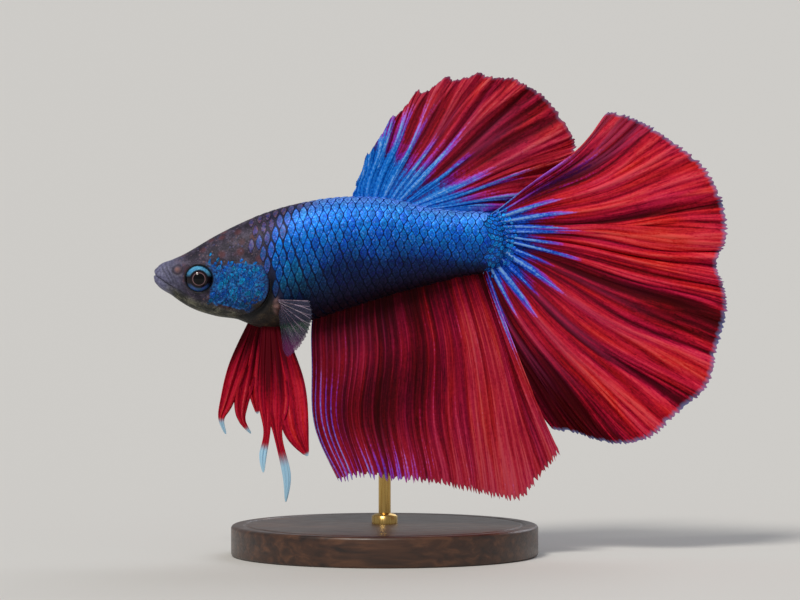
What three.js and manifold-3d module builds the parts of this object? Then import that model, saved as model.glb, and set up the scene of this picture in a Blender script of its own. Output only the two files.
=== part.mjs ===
// A life-size male betta (Siamese fighting fish, halfmoon tail) as a museum shows it: swimming to the
// left, held over a turned wooden base by one metal rod that rises on the far side of the anal fin and
// meets the belly.
//
// Millimetres, +Z up. The part's origin is the middle of the base's underside. The fish is drawn in a
// frame of its own, with the snout tip at x = 0, z = 0, the tail towards +X and the fish's left side
// towards -Y, and then set on the stand.
import * as THREE from "three";
import { mergeVertices } from "three/addons/utils/BufferGeometryUtils.js";
import Module from "manifold-3d";

const wasm = await Module();
wasm.setup();

// ---------------------------------------------------------------- driving dimensions

const BODY_LENGTH = 45.9; // snout tip to the end of the tail stalk
const GAP = 0.3; // width of the thin cuts between neighbouring pieces
const FIN_EDGE = 0.5; // thickness of a fin at its free edge
const FIN_ROOT = 0.9; // thickness of a fin where it leaves the body

// Body sections from the snout back: distance from the snout tip, height of the back, height of the belly,
// half width.
const SECTIONS = [
  [0, 0.5, -0.55, 0.6],
  [1.25, 1.55, -1.8, 1.5],
  [4, 2.95, -3.9, 2.5],
  [8, 5.3, -5.4, 3.45],
  [12.5, 7.5, -6.2, 4.2],
  [17, 9.05, -6.8, 4.5],
  [21, 9.85, -5.7, 4.45],
  [26, 10.3, -4.1, 4.15],
  [31, 10.0, -2.5, 3.65],
  [36, 8.85, -1.2, 2.95],
  [40, 8.4, -0.2, 2.3],
  [43.5, 8.1, 0.6, 1.65],
  [45.1, 7.3, 1.6, 1.15],
  [BODY_LENGTH, 5.9, 3, 0.6],
];
const WIDEST_AT = 0.47; // how far up a section the body is widest, from the belly
const FULLNESS = 0.88; // 1 is an elliptical section, smaller is squarer
const RINGS = 30;
const RING_SIDES = 22;
const THINNEST = 0.1; // where a shrunk section would vanish

const EYE = { x: 5.9, z: -0.3, radius: 1.75, depth: 1.4, setOut: 2.1 };
const HEAD_ENDS = 13.3; // the nape, where the scaled trunk begins
const TAIL_STALK_STARTS = 36.8;
const GILL_COVER = { x: 11, z: -1.05, radius: 4.05, startsAt: 9.3, plate: 0.9, proud: 0.12 };
// The lower jaw is the wedge under the line from the lips to the corner of the mouth and down to the
// chin's end.
const JAW = { lips: [0, 0.15], corner: [3.05, -1.7], chinEnd: [5.6, -6] };

// A fin is a fan between its root line and its ray tips, both given as [x, z] in the fish's frame. bow
// bends the rays forwards, lean is how far the tips of the first and last ray stand out to the fish's
// right (+) or left (-), and pleats and pleatDepth are the folds that deepen towards the free edge.
const DORSAL_FIN = {
  roots: [[26.2, 9.5], [31, 9.2], [35.2, 8.1]],
  tips: [
    [26.3, 12.2], [27.6, 15.7], [30.9, 20.7], [34.4, 24.05], [38.2, 25.9], [42.5, 26.3], [47, 25.5],
    [50.9, 23], [54.5, 17.8], [54.3, 14.7], [51.8, 11.4], [46.8, 9.2],
  ],
  bow: [0.2, -0.6],
  lean: [0, 3.2],
  pleats: 7,
  pleatDepth: 0.75,
  jag: 0.025,
  columns: 36,
  rows: 5,
};
const ANAL_FIN = {
  roots: [[21, -5], [27, -3], [36, -0.4], [43, 1.1]],
  tips: [
    [24, -26.6], [27.9, -25.9], [32, -26.4], [35.3, -26.5], [39.2, -27.3], [43.1, -28.1], [45.5, -28.7],
    [48.7, -28.3], [50.4, -26], [50.9, -23.4], [52.7, -22.8],
  ],
  bow: [1.8, 0.1],
  lean: [-0.4, -2.4],
  pleats: 8,
  pleatDepth: 0.6,
  jag: 0.02,
  columns: 40,
  rows: 5,
};
const CAUDAL_FIN = {
  roots: [[44.6, 7.5], [45.3, 4.5], [44.3, 1.2]],
  tips: [
    [58.6, 21.2], [62.6, 20.4], [66.9, 17.7], [71.4, 14.2], [73.8, 9.4], [74.3, 5.2], [73.1, 1.5],
    [74.1, -1.3], [74.4, -4.8], [73.1, -9.8], [71.8, -14.5], [67.9, -18.1], [64.5, -21], [60.6, -21.8],
    [56.1, -21], [51.8, -19.9],
  ],
  bow: [-0.2, 0.2],
  lean: [-2, 1.6],
  pleats: 11,
  pleatDepth: 0.95,
  jag: 0.02,
  columns: 52,
  rows: 6,
};
// A pectoral fin stands off the flank just behind the gill cover and is turned outwards about its upright
// root.
const PECTORAL_FIN = {
  roots: [[15.6, -2.1], [16.3, -4.4]],
  tips: [[20.5, -2.3], [20.8, -4.3], [20.5, -6.1], [19.8, -7.8], [18.8, -9.3], [17.5, -10.3], [16.7, -9.4]],
  bow: [0, 0],
  lean: [0.5, 0.2],
  pleats: 3,
  pleatDepth: 0.12,
  jag: 0.02,
  columns: 12,
  rows: 4,
};
const PECTORAL_SPLAY = 14; // degrees
// A pelvic fin is a few long soft rays with a web between them. Each ray is [x, z, half width] from root
// to tip.
const PELVIC_LEFT = [
  [[14.7, -5.6, 0.5], [14.5, -16.2, 1], [14.7, -21.4, 0.5], [14.3, -25.5, 0.12]],
  [[15.2, -5.6, 0.6], [15.9, -16.2, 1.7], [16.5, -21.4, 0.8], [17.6, -26.2, 0.45], [17.2, -29.3, 0.12]],
  [[15.7, -5.6, 0.6], [17.8, -13.6, 1.8], [18.9, -19.5, 1.2], [20.1, -22.8, 0.15]],
];
const PELVIC_RIGHT = [
  [[13.3, -5.6, 0.5], [11, -12.4, 1.1], [9.2, -17.3, 0.55], [9.1, -21, 0.12]],
  [[13.7, -5.6, 0.6], [11.9, -13.6, 1.3], [11.3, -17.8, 0.65], [12.5, -21, 0.12]],
  [[14.1, -5.6, 0.6], [13.2, -13.6, 1.1], [13.4, -18.4, 0.2]],
];
const PELVIC_ROOT = { y: 1.1, z: -5.6, splay: 9 }; // splay in degrees
const PELVIC_THICKNESS = 0.55;

const STAND_X = 30; // where the rod stands, in the fish's frame
const SNOUT_HEIGHT = 36.5; // height of the snout tip over the surface that the base stands on
const BASE = { radius: 20, height: 4, chamfer: 0.7, foot: 1.2 };
const ROD = { radius: 0.8, y: 2.1, collarRadius: 1.7, collarHeight: 1 };

// ---------------------------------------------------------------- materials

const finish = (color, roughness, metalness = 0) => new THREE.MeshStandardMaterial({ color, roughness, metalness });
const blueScales = finish(0x2260b4, 0.35);
const duskyHead = finish(0x54485c, 0.5);
const paleJaw = finish(0x9a8890, 0.55);
const redFin = finish(0xa81420, 0.45);
const clearFin = finish(0x7d6470, 0.5);
const eyeBlack = finish(0x0c0a0e, 0.1);
const darkWood = finish(0x3a2418, 0.45);
const brass = finish(0xb08d4c, 0.3, 1);

// ---------------------------------------------------------------- solids and meshes

// A closed geometry as a solid that can be joined and cut.
function solidOf(geometry) {
  const bare = geometry.clone();
  bare.deleteAttribute("normal");
  bare.deleteAttribute("uv");
  const merged = mergeVertices(bare, 1e-4);
  return new wasm.Manifold(
    new wasm.Mesh({
      numProp: 3,
      vertProperties: merged.attributes.position.array,
      triVerts: new Uint32Array(merged.index.array),
    }),
  );
}

function meshOf(name, solid, material) {
  const { vertProperties, triVerts } = solid.getMesh();
  const geometry = new THREE.BufferGeometry();
  geometry.setAttribute("position", new THREE.BufferAttribute(vertProperties, 3));
  geometry.setIndex(new THREE.BufferAttribute(triVerts, 1));
  geometry.computeVertexNormals();
  const mesh = new THREE.Mesh(geometry, material);
  mesh.name = name;
  return mesh;
}

// Rings with equally many points, joined into one surface. A fan round its middle closes the first and the
// last ring.
function closedLoft(rings) {
  const sides = rings[0].length;
  const points = rings.flat();
  const faces = [];
  const at = (ring, side) => ring * sides + (side % sides);
  for (let ring = 0; ring < rings.length - 1; ring++) {
    for (let side = 0; side < sides; side++) {
      faces.push(at(ring, side), at(ring, side + 1), at(ring + 1, side));
      faces.push(at(ring, side + 1), at(ring + 1, side + 1), at(ring + 1, side));
    }
  }
  for (const [ring, turned] of [[0, true], [rings.length - 1, false]]) {
    const middle = new THREE.Vector3();
    rings[ring].forEach((point) => middle.addScaledVector(point, 1 / sides));
    const hub = points.push(middle) - 1;
    for (let side = 0; side < sides; side++) {
      const [a, b] = [at(ring, side), at(ring, side + 1)];
      faces.push(...(turned ? [hub, b, a] : [hub, a, b]));
    }
  }
  const geometry = new THREE.BufferGeometry().setFromPoints(points);
  geometry.setIndex(faces);
  return geometry;
}

// A flat shape drawn in x and z, made solid from one y to another.
function slab(shape, yFrom, yTo) {
  const geometry = new THREE.ExtrudeGeometry(shape, { depth: yTo - yFrom, bevelEnabled: false, curveSegments: 16 });
  return solidOf(geometry.rotateX(Math.PI / 2).translate(0, yTo, 0));
}

const REACH = 90; // further than the fish is long, for cutting shapes
const HALF_ACROSS = 9; // more than half the body's width, for cutting shapes
const shapeOf = (corners) => new THREE.Shape(corners.map(([x, z]) => new THREE.Vector2(x, z)));
const discShape = (x, z, radius) => new THREE.Shape().absarc(x, z, radius, 0, 2 * Math.PI);
const block = (x0, x1) => shapeOf([[x0, -REACH], [x1, -REACH], [x1, REACH], [x0, REACH]]);

// ---------------------------------------------------------------- body

const sectionAt = new THREE.CubicInterpolant(
  SECTIONS.map((row) => row[0]),
  SECTIONS.flatMap((row) => row.slice(1)),
  3,
);

// The whole body without fins, grown outwards by some thickness or shrunk where that is negative.
function bodySolid(grow = 0) {
  const rings = [];
  for (let i = 0; i <= RINGS; i++) {
    const even = i / RINGS;
    const crowded = (1 - Math.cos(Math.PI * even)) / 2; // rings lie closer at the snout and the tail stalk's end
    const x = BODY_LENGTH * (0.45 * even + 0.55 * crowded);
    const [back, belly, halfWidth] = sectionAt.evaluate(x);
    const level = belly + WIDEST_AT * (back - belly);
    const ring = [];
    for (let side = 0; side < RING_SIDES; side++) {
      const angle = (2 * Math.PI * (side + 0.5)) / RING_SIDES;
      const across = Math.sign(Math.cos(angle)) * Math.abs(Math.cos(angle)) ** FULLNESS;
      const up = Math.sign(Math.sin(angle)) * Math.abs(Math.sin(angle)) ** FULLNESS;
      const height = (up > 0 ? back - level : level - belly) + grow;
      const endShift = i === 0 ? -grow : i === RINGS ? grow : 0;
      const width = Math.max(halfWidth + grow, THINNEST);
      ring.push(new THREE.Vector3(x + endShift, across * width, level + up * Math.max(height, THINNEST)));
    }
    rings.push(ring);
  }
  return solidOf(closedLoft(rings));
}

const wholeBody = bodySolid();
const clearOfBody = bodySolid(GAP);

function eyeSolid(side, grow = 0) {
  const ball = new THREE.SphereGeometry(1, 16, 8).rotateX(Math.PI / 2);
  ball.scale(EYE.radius + grow, EYE.depth + grow, EYE.radius + grow);
  return solidOf(ball.translate(EYE.x, side * EYE.setOut, EYE.z));
}

// A gill cover is a thin plate on the cheek with a round hind edge. With grow it is the room that the
// plate needs.
function gillCoverSolid(side, grow = 0) {
  const { x, z, radius, startsAt, plate, proud } = GILL_COVER;
  const skin = bodySolid(proud + grow).subtract(bodySolid(-plate - grow));
  const across = side > 0 ? [1, HALF_ACROSS] : [-HALF_ACROSS, -1];
  return skin
    .intersect(slab(discShape(x, z, radius + grow), ...across))
    .intersect(slab(block(startsAt - grow, REACH), ...across));
}

// The wedge that parts the jaw from the head, pushed up and back by some clearance.
function jawWedge(clearance = 0) {
  const { lips, corner, chinEnd } = JAW;
  const pushed = ([x, z]) => [x + clearance * 0.6, z + clearance];
  const ahead = [[-REACH, chinEnd[1]], [-REACH, lips[1] + clearance]];
  return slab(shapeOf([...ahead, pushed(lips), pushed(corner), pushed(chinEnd)]), -HALF_ACROSS, HALF_ACROSS);
}

function bodyPieces() {
  const through = (shape) => slab(shape, -HALF_ACROSS, HALF_ACROSS);
  const headRegion = (grow) =>
    through(block(-REACH, HEAD_ENDS + grow)).add(
      through(discShape(GILL_COVER.x, GILL_COVER.z, GILL_COVER.radius + grow)),
    );
  const covers = [-1, 1].map((side) => gillCoverSolid(side));
  const eyes = [-1, 1].map((side) => eyeSolid(side));
  let head = wholeBody.intersect(headRegion(0));
  const jaw = head.intersect(jawWedge());
  head = head.subtract(jawWedge(GAP));
  for (const side of [-1, 1]) {
    head = head.subtract(gillCoverSolid(side, GAP)).subtract(eyeSolid(side, GAP));
  }
  const behindHead = wholeBody.subtract(headRegion(GAP));
  const trunk = behindHead.subtract(through(block(TAIL_STALK_STARTS, REACH)));
  const stalk = behindHead.subtract(through(block(-REACH, TAIL_STALK_STARTS + GAP)));
  return [
    meshOf("head", head, duskyHead),
    meshOf("lower_jaw", jaw, paleJaw),
    meshOf("gill_cover_left", covers[0], blueScales),
    meshOf("gill_cover_right", covers[1], blueScales),
    meshOf("eye_left", eyes[0], eyeBlack),
    meshOf("eye_right", eyes[1], eyeBlack),
    meshOf("trunk", trunk, blueScales),
    meshOf("tail_stalk", stalk, blueScales),
  ];
}

// ---------------------------------------------------------------- fins

// A fin's middle surface: u runs along the root from the first ray to the last, v from the root to the ray
// tips.
function finSurface(fin) {
  const curve = (corners) => new THREE.SplineCurve(corners.map(([x, z]) => new THREE.Vector2(x, z)));
  const root = curve(fin.roots);
  const edge = curve(fin.tips);
  return (u, v, jag = 0) => {
    const from = root.getPoint(u);
    const ray = edge.getPoint(u).sub(from);
    const bow = THREE.MathUtils.lerp(fin.bow[0], fin.bow[1], u) * 4 * v * (1 - v);
    const forwards = new THREE.Vector2(-Math.abs(ray.y), ray.x * Math.sign(ray.y || 1)).normalize();
    const place = from.addScaledVector(ray, v * (1 - jag * v)).addScaledVector(forwards, bow);
    const lean = THREE.MathUtils.lerp(fin.lean[0], fin.lean[1], u) * v;
    const fold = Math.sin(2 * Math.PI * fin.pleats * u + 1) * fin.pleatDepth * v ** 1.3;
    return new THREE.Vector3(place.x, lean + fold, place.y);
  };
}

// A fin's surface thickened evenly on both sides, with a ragged edge where every other ray is a little
// shorter.
function finSolid(fin, rootThickness = FIN_ROOT) {
  const surface = finSurface(fin);
  const step = 1e-3;
  const rings = [];
  for (let i = 0; i <= fin.columns; i++) {
    const u = i / fin.columns;
    const jag = i % 2 ? fin.jag : 0;
    const near = [];
    const far = [];
    for (let j = 0; j <= fin.rows; j++) {
      const v = j / fin.rows;
      const point = surface(u, v, jag);
      const across = surface(Math.min(u + step, 1), v).sub(surface(Math.max(u - step, 0), v));
      const along = surface(u, Math.min(v + step, 1)).sub(surface(u, Math.max(v - step, 0)));
      const outward = across.cross(along).normalize();
      const half = THREE.MathUtils.lerp(rootThickness, FIN_EDGE, v) / 2;
      near.push(point.clone().addScaledVector(outward, half));
      far.unshift(point.clone().addScaledVector(outward, -half));
    }
    rings.push([...near, ...far]);
  }
  const solid = solidOf(closedLoft(rings));
  return solid.volume() < 0 ? solidOf(closedLoft(rings.reverse())) : solid;
}

// One long soft ray: a flat blade along a smooth curve, narrowing as its list says.
function rayBlade(ray) {
  const spine = new THREE.SplineCurve(ray.map(([x, z]) => new THREE.Vector2(x, z)));
  const width = new THREE.SplineCurve(ray.map(([, , half], i) => new THREE.Vector2(i, half)));
  const steps = 10;
  const front = [];
  const back = [];
  for (let i = 0; i <= steps; i++) {
    const place = spine.getPoint(i / steps);
    const along = spine.getTangent(i / steps);
    const half = width.getPoint(i / steps).y;
    front.push([place.x + along.y * half, place.y - along.x * half]);
    back.unshift([place.x - along.y * half, place.y + along.x * half]);
  }
  return slab(shapeOf([...front, ...back]), -PELVIC_THICKNESS / 2, PELVIC_THICKNESS / 2);
}

function pelvicFin(name, rays, side) {
  const { y, z, splay } = PELVIC_ROOT;
  const blades = rays.map(rayBlade).reduce((joined, blade) => joined.add(blade));
  const placed = blades.translate([0, 0, -z]).rotate([side * splay, 0, 0]).translate([0, side * y, z]);
  return meshOf(name, placed.subtract(clearOfBody), redFin);
}

function pectoralFin(name, side) {
  const [x, z] = PECTORAL_FIN.roots[0];
  const halfWidth = sectionAt.evaluate(x)[2];
  const flat = finSolid({ ...PECTORAL_FIN, lean: PECTORAL_FIN.lean.map((lean) => lean * side) }, FIN_EDGE);
  const placed = flat
    .translate([-x, 0, -z])
    .rotate([0, 0, side * PECTORAL_SPLAY])
    .translate([x, side * (halfWidth - 0.1), z]);
  return meshOf(name, placed.subtract(clearOfBody), clearFin);
}

function finPieces() {
  const midline = { dorsal_fin: DORSAL_FIN, anal_fin: ANAL_FIN, caudal_fin: CAUDAL_FIN };
  return [
    ...Object.entries(midline).map(([name, fin]) => meshOf(name, finSolid(fin).subtract(clearOfBody), redFin)),
    pectoralFin("pectoral_fin_left", -1),
    pectoralFin("pectoral_fin_right", 1),
    pelvicFin("pelvic_fin_left", PELVIC_LEFT, -1),
    pelvicFin("pelvic_fin_right", PELVIC_RIGHT, 1),
  ];
}

// ---------------------------------------------------------------- stand, in the part's own frame

function standPieces() {
  const { radius, height, chamfer, foot } = BASE;
  const profile = [
    [0, 0], [radius - foot, 0], [radius, foot], [radius, height - chamfer], [radius - chamfer, height], [0, height],
  ];
  const base = new THREE.LatheGeometry(profile.map(([r, z]) => new THREE.Vector2(r, z)), 48).rotateX(Math.PI / 2);
  const rodProfile = [
    [0, height + GAP], [ROD.collarRadius, height + GAP], [ROD.collarRadius, height + ROD.collarHeight],
    [ROD.radius, height + ROD.collarHeight + 0.4], [ROD.radius, SNOUT_HEIGHT + 2], [0, SNOUT_HEIGHT + 2],
  ];
  const rod = new THREE.LatheGeometry(rodProfile.map(([r, z]) => new THREE.Vector2(r, z)), 16).rotateX(Math.PI / 2);
  // The rod's top is cut to the belly that it carries.
  const belly = wholeBody.translate([-STAND_X, -ROD.y, SNOUT_HEIGHT - GAP]);
  const cutRod = solidOf(rod).subtract(belly);
  const lowest = cutRod.decompose().sort((a, b) => a.boundingBox().min[2] - b.boundingBox().min[2])[0];
  return [
    meshOf("stand_base", solidOf(base), darkWood),
    meshOf("stand_rod", lowest.translate([0, ROD.y, 0]), brass),
  ];
}

// ---------------------------------------------------------------- assembly

const fish = new THREE.Group();
fish.add(...bodyPieces(), ...finPieces());
fish.position.set(-STAND_X, 0, SNOUT_HEIGHT);

const part = new THREE.Group();
part.add(fish, ...standPieces());

export default part;
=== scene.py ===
import math
from functools import cache, partial

import bpy
import numpy as np
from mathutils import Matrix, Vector


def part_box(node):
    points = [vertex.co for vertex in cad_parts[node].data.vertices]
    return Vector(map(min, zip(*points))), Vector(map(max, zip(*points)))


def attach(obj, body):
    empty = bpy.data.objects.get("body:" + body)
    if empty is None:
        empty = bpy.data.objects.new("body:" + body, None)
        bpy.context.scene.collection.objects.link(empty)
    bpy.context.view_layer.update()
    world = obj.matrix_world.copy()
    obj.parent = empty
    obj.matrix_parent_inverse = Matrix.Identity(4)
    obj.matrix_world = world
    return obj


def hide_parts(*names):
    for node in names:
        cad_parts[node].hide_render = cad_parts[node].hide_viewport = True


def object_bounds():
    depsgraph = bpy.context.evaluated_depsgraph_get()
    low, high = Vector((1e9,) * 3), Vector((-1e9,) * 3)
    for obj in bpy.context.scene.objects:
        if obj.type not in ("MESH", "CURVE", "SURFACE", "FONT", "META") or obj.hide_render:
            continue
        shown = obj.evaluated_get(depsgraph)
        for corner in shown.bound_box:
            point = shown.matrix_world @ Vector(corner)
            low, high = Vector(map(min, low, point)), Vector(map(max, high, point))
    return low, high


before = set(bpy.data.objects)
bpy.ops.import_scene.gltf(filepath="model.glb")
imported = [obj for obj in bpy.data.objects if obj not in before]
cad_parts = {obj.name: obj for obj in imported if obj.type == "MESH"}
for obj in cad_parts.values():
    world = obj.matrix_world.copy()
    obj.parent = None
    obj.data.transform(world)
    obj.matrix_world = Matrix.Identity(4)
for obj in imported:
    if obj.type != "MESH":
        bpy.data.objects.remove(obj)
cadLow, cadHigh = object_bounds()
mm = 0.001
chance = np.random.default_rng(7)
print("frame loaded:", len(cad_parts), "nodes")


# shared helpers: colours, nodes and meshes

def linearColour(code):  # "#rrggbb" in sRGB to linear RGBA
    channels = [int(code[i:i + 2], 16) / 255 for i in (1, 3, 5)]
    return [c / 12.92 if c <= 0.04045 else ((c + 0.055) / 1.055) ** 2.4 for c in channels] + [1.0]


def addNode(tree, kind, inputs=None, stops=(), **settings):
    node = tree.nodes.new("ShaderNode" + kind)
    for name, value in settings.items():
        setattr(node, name, value)
    for name, value in (inputs or {}).items():  # each is a node, a socket, a number or a hex colour
        if isinstance(value, bpy.types.Node):
            value = next(socket for socket in value.outputs if socket.enabled)
        if isinstance(value, bpy.types.NodeSocket):
            tree.links.new(value, node.inputs[name])
        else:
            node.inputs[name].default_value = linearColour(value) if isinstance(value, str) else value
    for number, (place, code) in enumerate(stops):
        ramp = node.color_ramp.elements
        stop = ramp[number] if number < 2 else ramp.new(place)
        stop.position = place
        stop.color = linearColour(code)
    return node


def newMaterial(name):  # the material, and addNode for its own tree
    material = bpy.data.materials.new(name)
    material.use_nodes = True
    material.node_tree.nodes.clear()
    return material, partial(addNode, material.node_tree)


def selectOnly(*pieces):  # the first one becomes the active one
    bpy.ops.object.select_all(action="DESELECT")
    for piece in pieces:
        piece.select_set(True)
    if pieces:
        bpy.context.view_layer.objects.active = pieces[0]


def newGrid(name, columns, rows):  # a flat grid, and where each of its points lies from 0 to 1 each way
    selectOnly()
    bpy.ops.mesh.primitive_grid_add(x_subdivisions=columns, y_subdivisions=rows, size=1)
    piece = bpy.context.object
    piece.name = name
    piece.data.uv_layers[0].name = "finMap"
    flat = pointsOf(piece)
    return piece, flat[:, 0] + 0.5, flat[:, 1] + 0.5


def pointsOf(piece):
    flat = np.zeros(len(piece.data.vertices) * 3)
    piece.data.vertices.foreach_get("co", flat)
    return flat.reshape(-1, 3)


def setPoints(piece, points):
    piece.data.vertices.foreach_set("co", np.ascontiguousarray(points, dtype=np.float32).ravel())
    piece.data.update()


def setAttributes(piece, **values):  # a number for each point
    for name, numbers in values.items():
        attribute = piece.data.attributes.new(name, "FLOAT", "POINT")
        attribute.data.foreach_set("value", np.asarray(numbers, dtype=np.float32))


def addMap(piece, name, u, v):  # a UV map from one place for each point
    corners = np.zeros(len(piece.data.loops), dtype=np.int32)
    piece.data.loops.foreach_get("vertex_index", corners)
    layer = piece.data.uv_layers.new(name=name)
    layer.uv.foreach_set("vector", np.stack([u[corners], v[corners]], 1).astype(np.float32).ravel())


def applyModifier(piece, kind, **settings):
    selectOnly(piece)
    modifier = piece.modifiers.new(kind.title(), kind)
    for name, value in settings.items():
        setattr(modifier, name, value)
    bpy.ops.object.modifier_apply(modifier=modifier.name)


def weld(piece):  # closes seams and poles, then turns the faces outwards
    selectOnly(piece)
    bpy.ops.object.mode_set(mode="EDIT")
    bpy.ops.mesh.select_all(action="SELECT")
    bpy.ops.mesh.remove_doubles(threshold=0.001 * mm)
    bpy.ops.mesh.normals_make_consistent(inside=False)
    bpy.ops.object.mode_set(mode="OBJECT")


def joinPieces(pieces, name):
    selectOnly(*pieces)
    bpy.ops.object.join()
    pieces[0].name = name
    return pieces[0]


def finishPiece(piece, material, slot, *nodes):  # the CAD nodes that the piece replaces come last
    piece.data.materials.clear()
    piece.data.materials.append(material)
    selectOnly(piece)
    bpy.ops.object.shade_smooth_by_angle(angle=math.radians(60))
    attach(piece, "root")
    if nodes:
        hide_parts(*nodes)
    print(piece.name, "made:", len(piece.data.polygons), "faces")


def smoothStep(value, low, high):  # 0 at low and 1 at high, whichever of them is the larger
    t = np.clip((value - low) / (high - low), 0, 1)
    return t * t * (3 - 2 * t)


def bump(distance, width):  # a rounded ridge or dot
    return np.exp(-((distance / width) ** 2))


def curve(t, start, end, leaving, arriving):  # a cubic between two places, with its slopes at both
    return (
        (2 * t ** 3 - 3 * t ** 2 + 1) * start + (t ** 3 - 2 * t ** 2 + t) * leaving
        + (3 * t ** 2 - 2 * t ** 3) * end + (t ** 3 - t ** 2) * arriving
    )


# the fish's own frame: mm, the snout tip at x 0 and z 0, the tail towards +x, its left side towards -y

body = {
    "sections": [  # distance from the snout, height of the back, height of the belly, half width
        (0, 0.5, -0.55, 0.6), (1.25, 1.55, -1.8, 1.5), (4, 2.95, -3.9, 2.5), (8, 5.3, -5.4, 3.45),
        (10.8, 6.72, -5.85, 3.95), (13.4, 7.85, -6.8, 4.25), (17, 9.05, -6.9, 4.5), (21, 9.85, -5.7, 4.45),
        (26, 10.3, -4.1, 4.15), (31, 10.0, -2.5, 3.65), (36, 8.85, -1.2, 2.95), (40, 8.4, -0.2, 2.3),
        (43.5, 8.1, 0.6, 1.65), (45.1, 7.3, 1.6, 1.15), (45.9, 5.9, 3.0, 0.6),
    ],
    "widestAt": 0.47,  # how far up a section the body is widest
    "fullness": 0.88,  # 1 is an ellipse, less is squarer
    "snoutRound": 0.9,  # length over which the snout rounds off
    "tailRound": 0.7,
    "coatDepth": 0.14,  # how far the skin lies inside the scales' outer surface
    "stations": 500,
    "samples": 120,
}
sectionX, sectionBack, sectionBelly, sectionHalf = np.array(body["sections"]).T


def smoothRow(x, values):  # a smooth curve through the sections
    slopes = np.gradient(values, sectionX)
    i = np.clip(np.searchsorted(sectionX, x) - 1, 0, len(sectionX) - 2)
    step = sectionX[i + 1] - sectionX[i]
    return curve((x - sectionX[i]) / step, values[i], values[i + 1], step * slopes[i], step * slopes[i + 1])


bodyLength = sectionX[-1]
stationX = np.linspace(0, bodyLength, body["stations"])
backLine = smoothRow(stationX, sectionBack)
bellyLine = smoothRow(stationX, sectionBelly)
snout = np.array([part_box("head")[0].x, 0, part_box("trunk")[1].z - backLine.max() * mm])


def toFrame(points):  # from the fish's frame to the part's, in metres
    return np.asarray(points) * mm + snout


def bodyTable():  # half sections, sampled evenly along the skin from the back down to the belly
    level = bellyLine + body["widestAt"] * (backLine - bellyLine)
    fromEnds = stationX / body["snoutRound"], (bodyLength - stationX) / body["tailRound"]
    nose, tail = (np.sqrt(1 - (1 - np.clip(distance, 0, 1)) ** 2) for distance in fromEnds)
    angle = np.linspace(math.pi / 2, -math.pi / 2, 400)
    across = np.abs(np.cos(angle)) ** body["fullness"]
    up = np.sign(np.sin(angle)) * np.abs(np.sin(angle)) ** body["fullness"]
    table = np.zeros((body["stations"], body["samples"], 3))
    girth = np.zeros(body["stations"])
    for i, x in enumerate(stationX):
        taper = nose[i] * tail[i]
        y = across * smoothRow(x, sectionHalf) * taper
        z = level[i] + up * np.where(up > 0, backLine[i] - level[i], level[i] - bellyLine[i]) * taper
        arc = np.concatenate([[0], np.cumsum(np.hypot(np.diff(y), np.diff(z)))])
        girth[i] = arc[-1]
        even = np.linspace(0, arc[-1], body["samples"])
        table[i] = np.stack([np.full_like(even, x), np.interp(even, arc, y), np.interp(even, arc, z)], 1)
    return table, girth


sideTable, halfGirth = bodyTable()


def bodyPoint(x, t):  # t runs from 0 on the back to 1 on the belly, below 0 on the fish's left side
    t = (t + 1) % 2 - 1
    i = np.clip(x / bodyLength, 0, 1) * (body["stations"] - 1)
    j = np.abs(t) * (body["samples"] - 1)
    i0 = np.clip(i.astype(int), 0, body["stations"] - 2)
    j0 = np.clip(j.astype(int), 0, body["samples"] - 2)
    fi, fj = (i - i0)[:, None], (j - j0)[:, None]
    near = sideTable[i0, j0] * (1 - fj) + sideTable[i0, j0 + 1] * fj
    far = sideTable[i0 + 1, j0] * (1 - fj) + sideTable[i0 + 1, j0 + 1] * fj
    point = near * (1 - fi) + far * fi
    point[:, 1] *= np.where(t < 0, -1, 1)
    point[:, 0] += np.clip(x - bodyLength, 0, None)
    return point


def bodyNormal(x, t):
    stepX, stepT = 0.15, 0.01
    t = np.where(np.abs(t) < 1e-3, 1e-3, t)
    along = bodyPoint(np.clip(x + stepX, 0, bodyLength), t) - bodyPoint(np.clip(x - stepX, 0, bodyLength), t)
    around = bodyPoint(x, t + stepT * np.sign(t)) - bodyPoint(x, t - stepT * np.sign(t))
    normal = np.cross(along, around)
    normal /= np.linalg.norm(normal, axis=1)[:, None] + 1e-9
    centre = np.stack([x, 0 * x, np.interp(x, stationX, (backLine + bellyLine) / 2)], 1)
    return normal * np.sign(((bodyPoint(x, t) - centre) * normal).sum(1) + 1e-9)[:, None]


def bodyT(x, z):  # where on the side, from back to belly, a height lies
    out = np.zeros_like(x)
    for i, (place, height) in enumerate(zip(x, z)):
        row = sideTable[int(round(place / bodyLength * (body["stations"] - 1)))]
        out[i] = np.interp(-height, -row[:, 2], np.linspace(0, 1, body["samples"]))
    return out


# what the head's skin adds to the plain body, seen from the side: lips, nostril, socket, gill cover, folds

head = {
    "gape": [(-0.4, 0.35), (0.9, -0.3), (2.1, -1.25), (3.0, -1.85)],
    "lipWidth": 0.42,
    "jawHinge": [(1.9, 1.9), (2.35, 0.7), (2.8, -0.6), (3.45, -2.1)],
    "lipFolds": [[(1.0, 1.25), (1.7, 0.1), (2.3, -0.9)], [(1.5, 1.6), (2.1, 0.2), (2.7, -1.1)]],
    "nostril": (3.1, 0.85),
    "eye": (5.95, -0.3),
    "socket": 1.72,
    "gillCentre": (11.0, -1.05),
    "gillRadius": 4.05,
    "cheekFolds": [[(8.6, 1.6), (9.7, 0.2), (9.9, -1.7), (9.2, -3.4), (7.9, -4.4)],
                   [(10.2, 0.6), (10.9, -1.0), (10.7, -2.8), (9.9, -4.2)]],
    "chinFolds": (0.5, 0.95, 1.45),  # heights over the chin's lower edge
    "finRoot": (16.05, -3.8), "finRootHalf": (0.45, 0.95),  # the fleshy root of the pectoral fin
}


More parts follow.
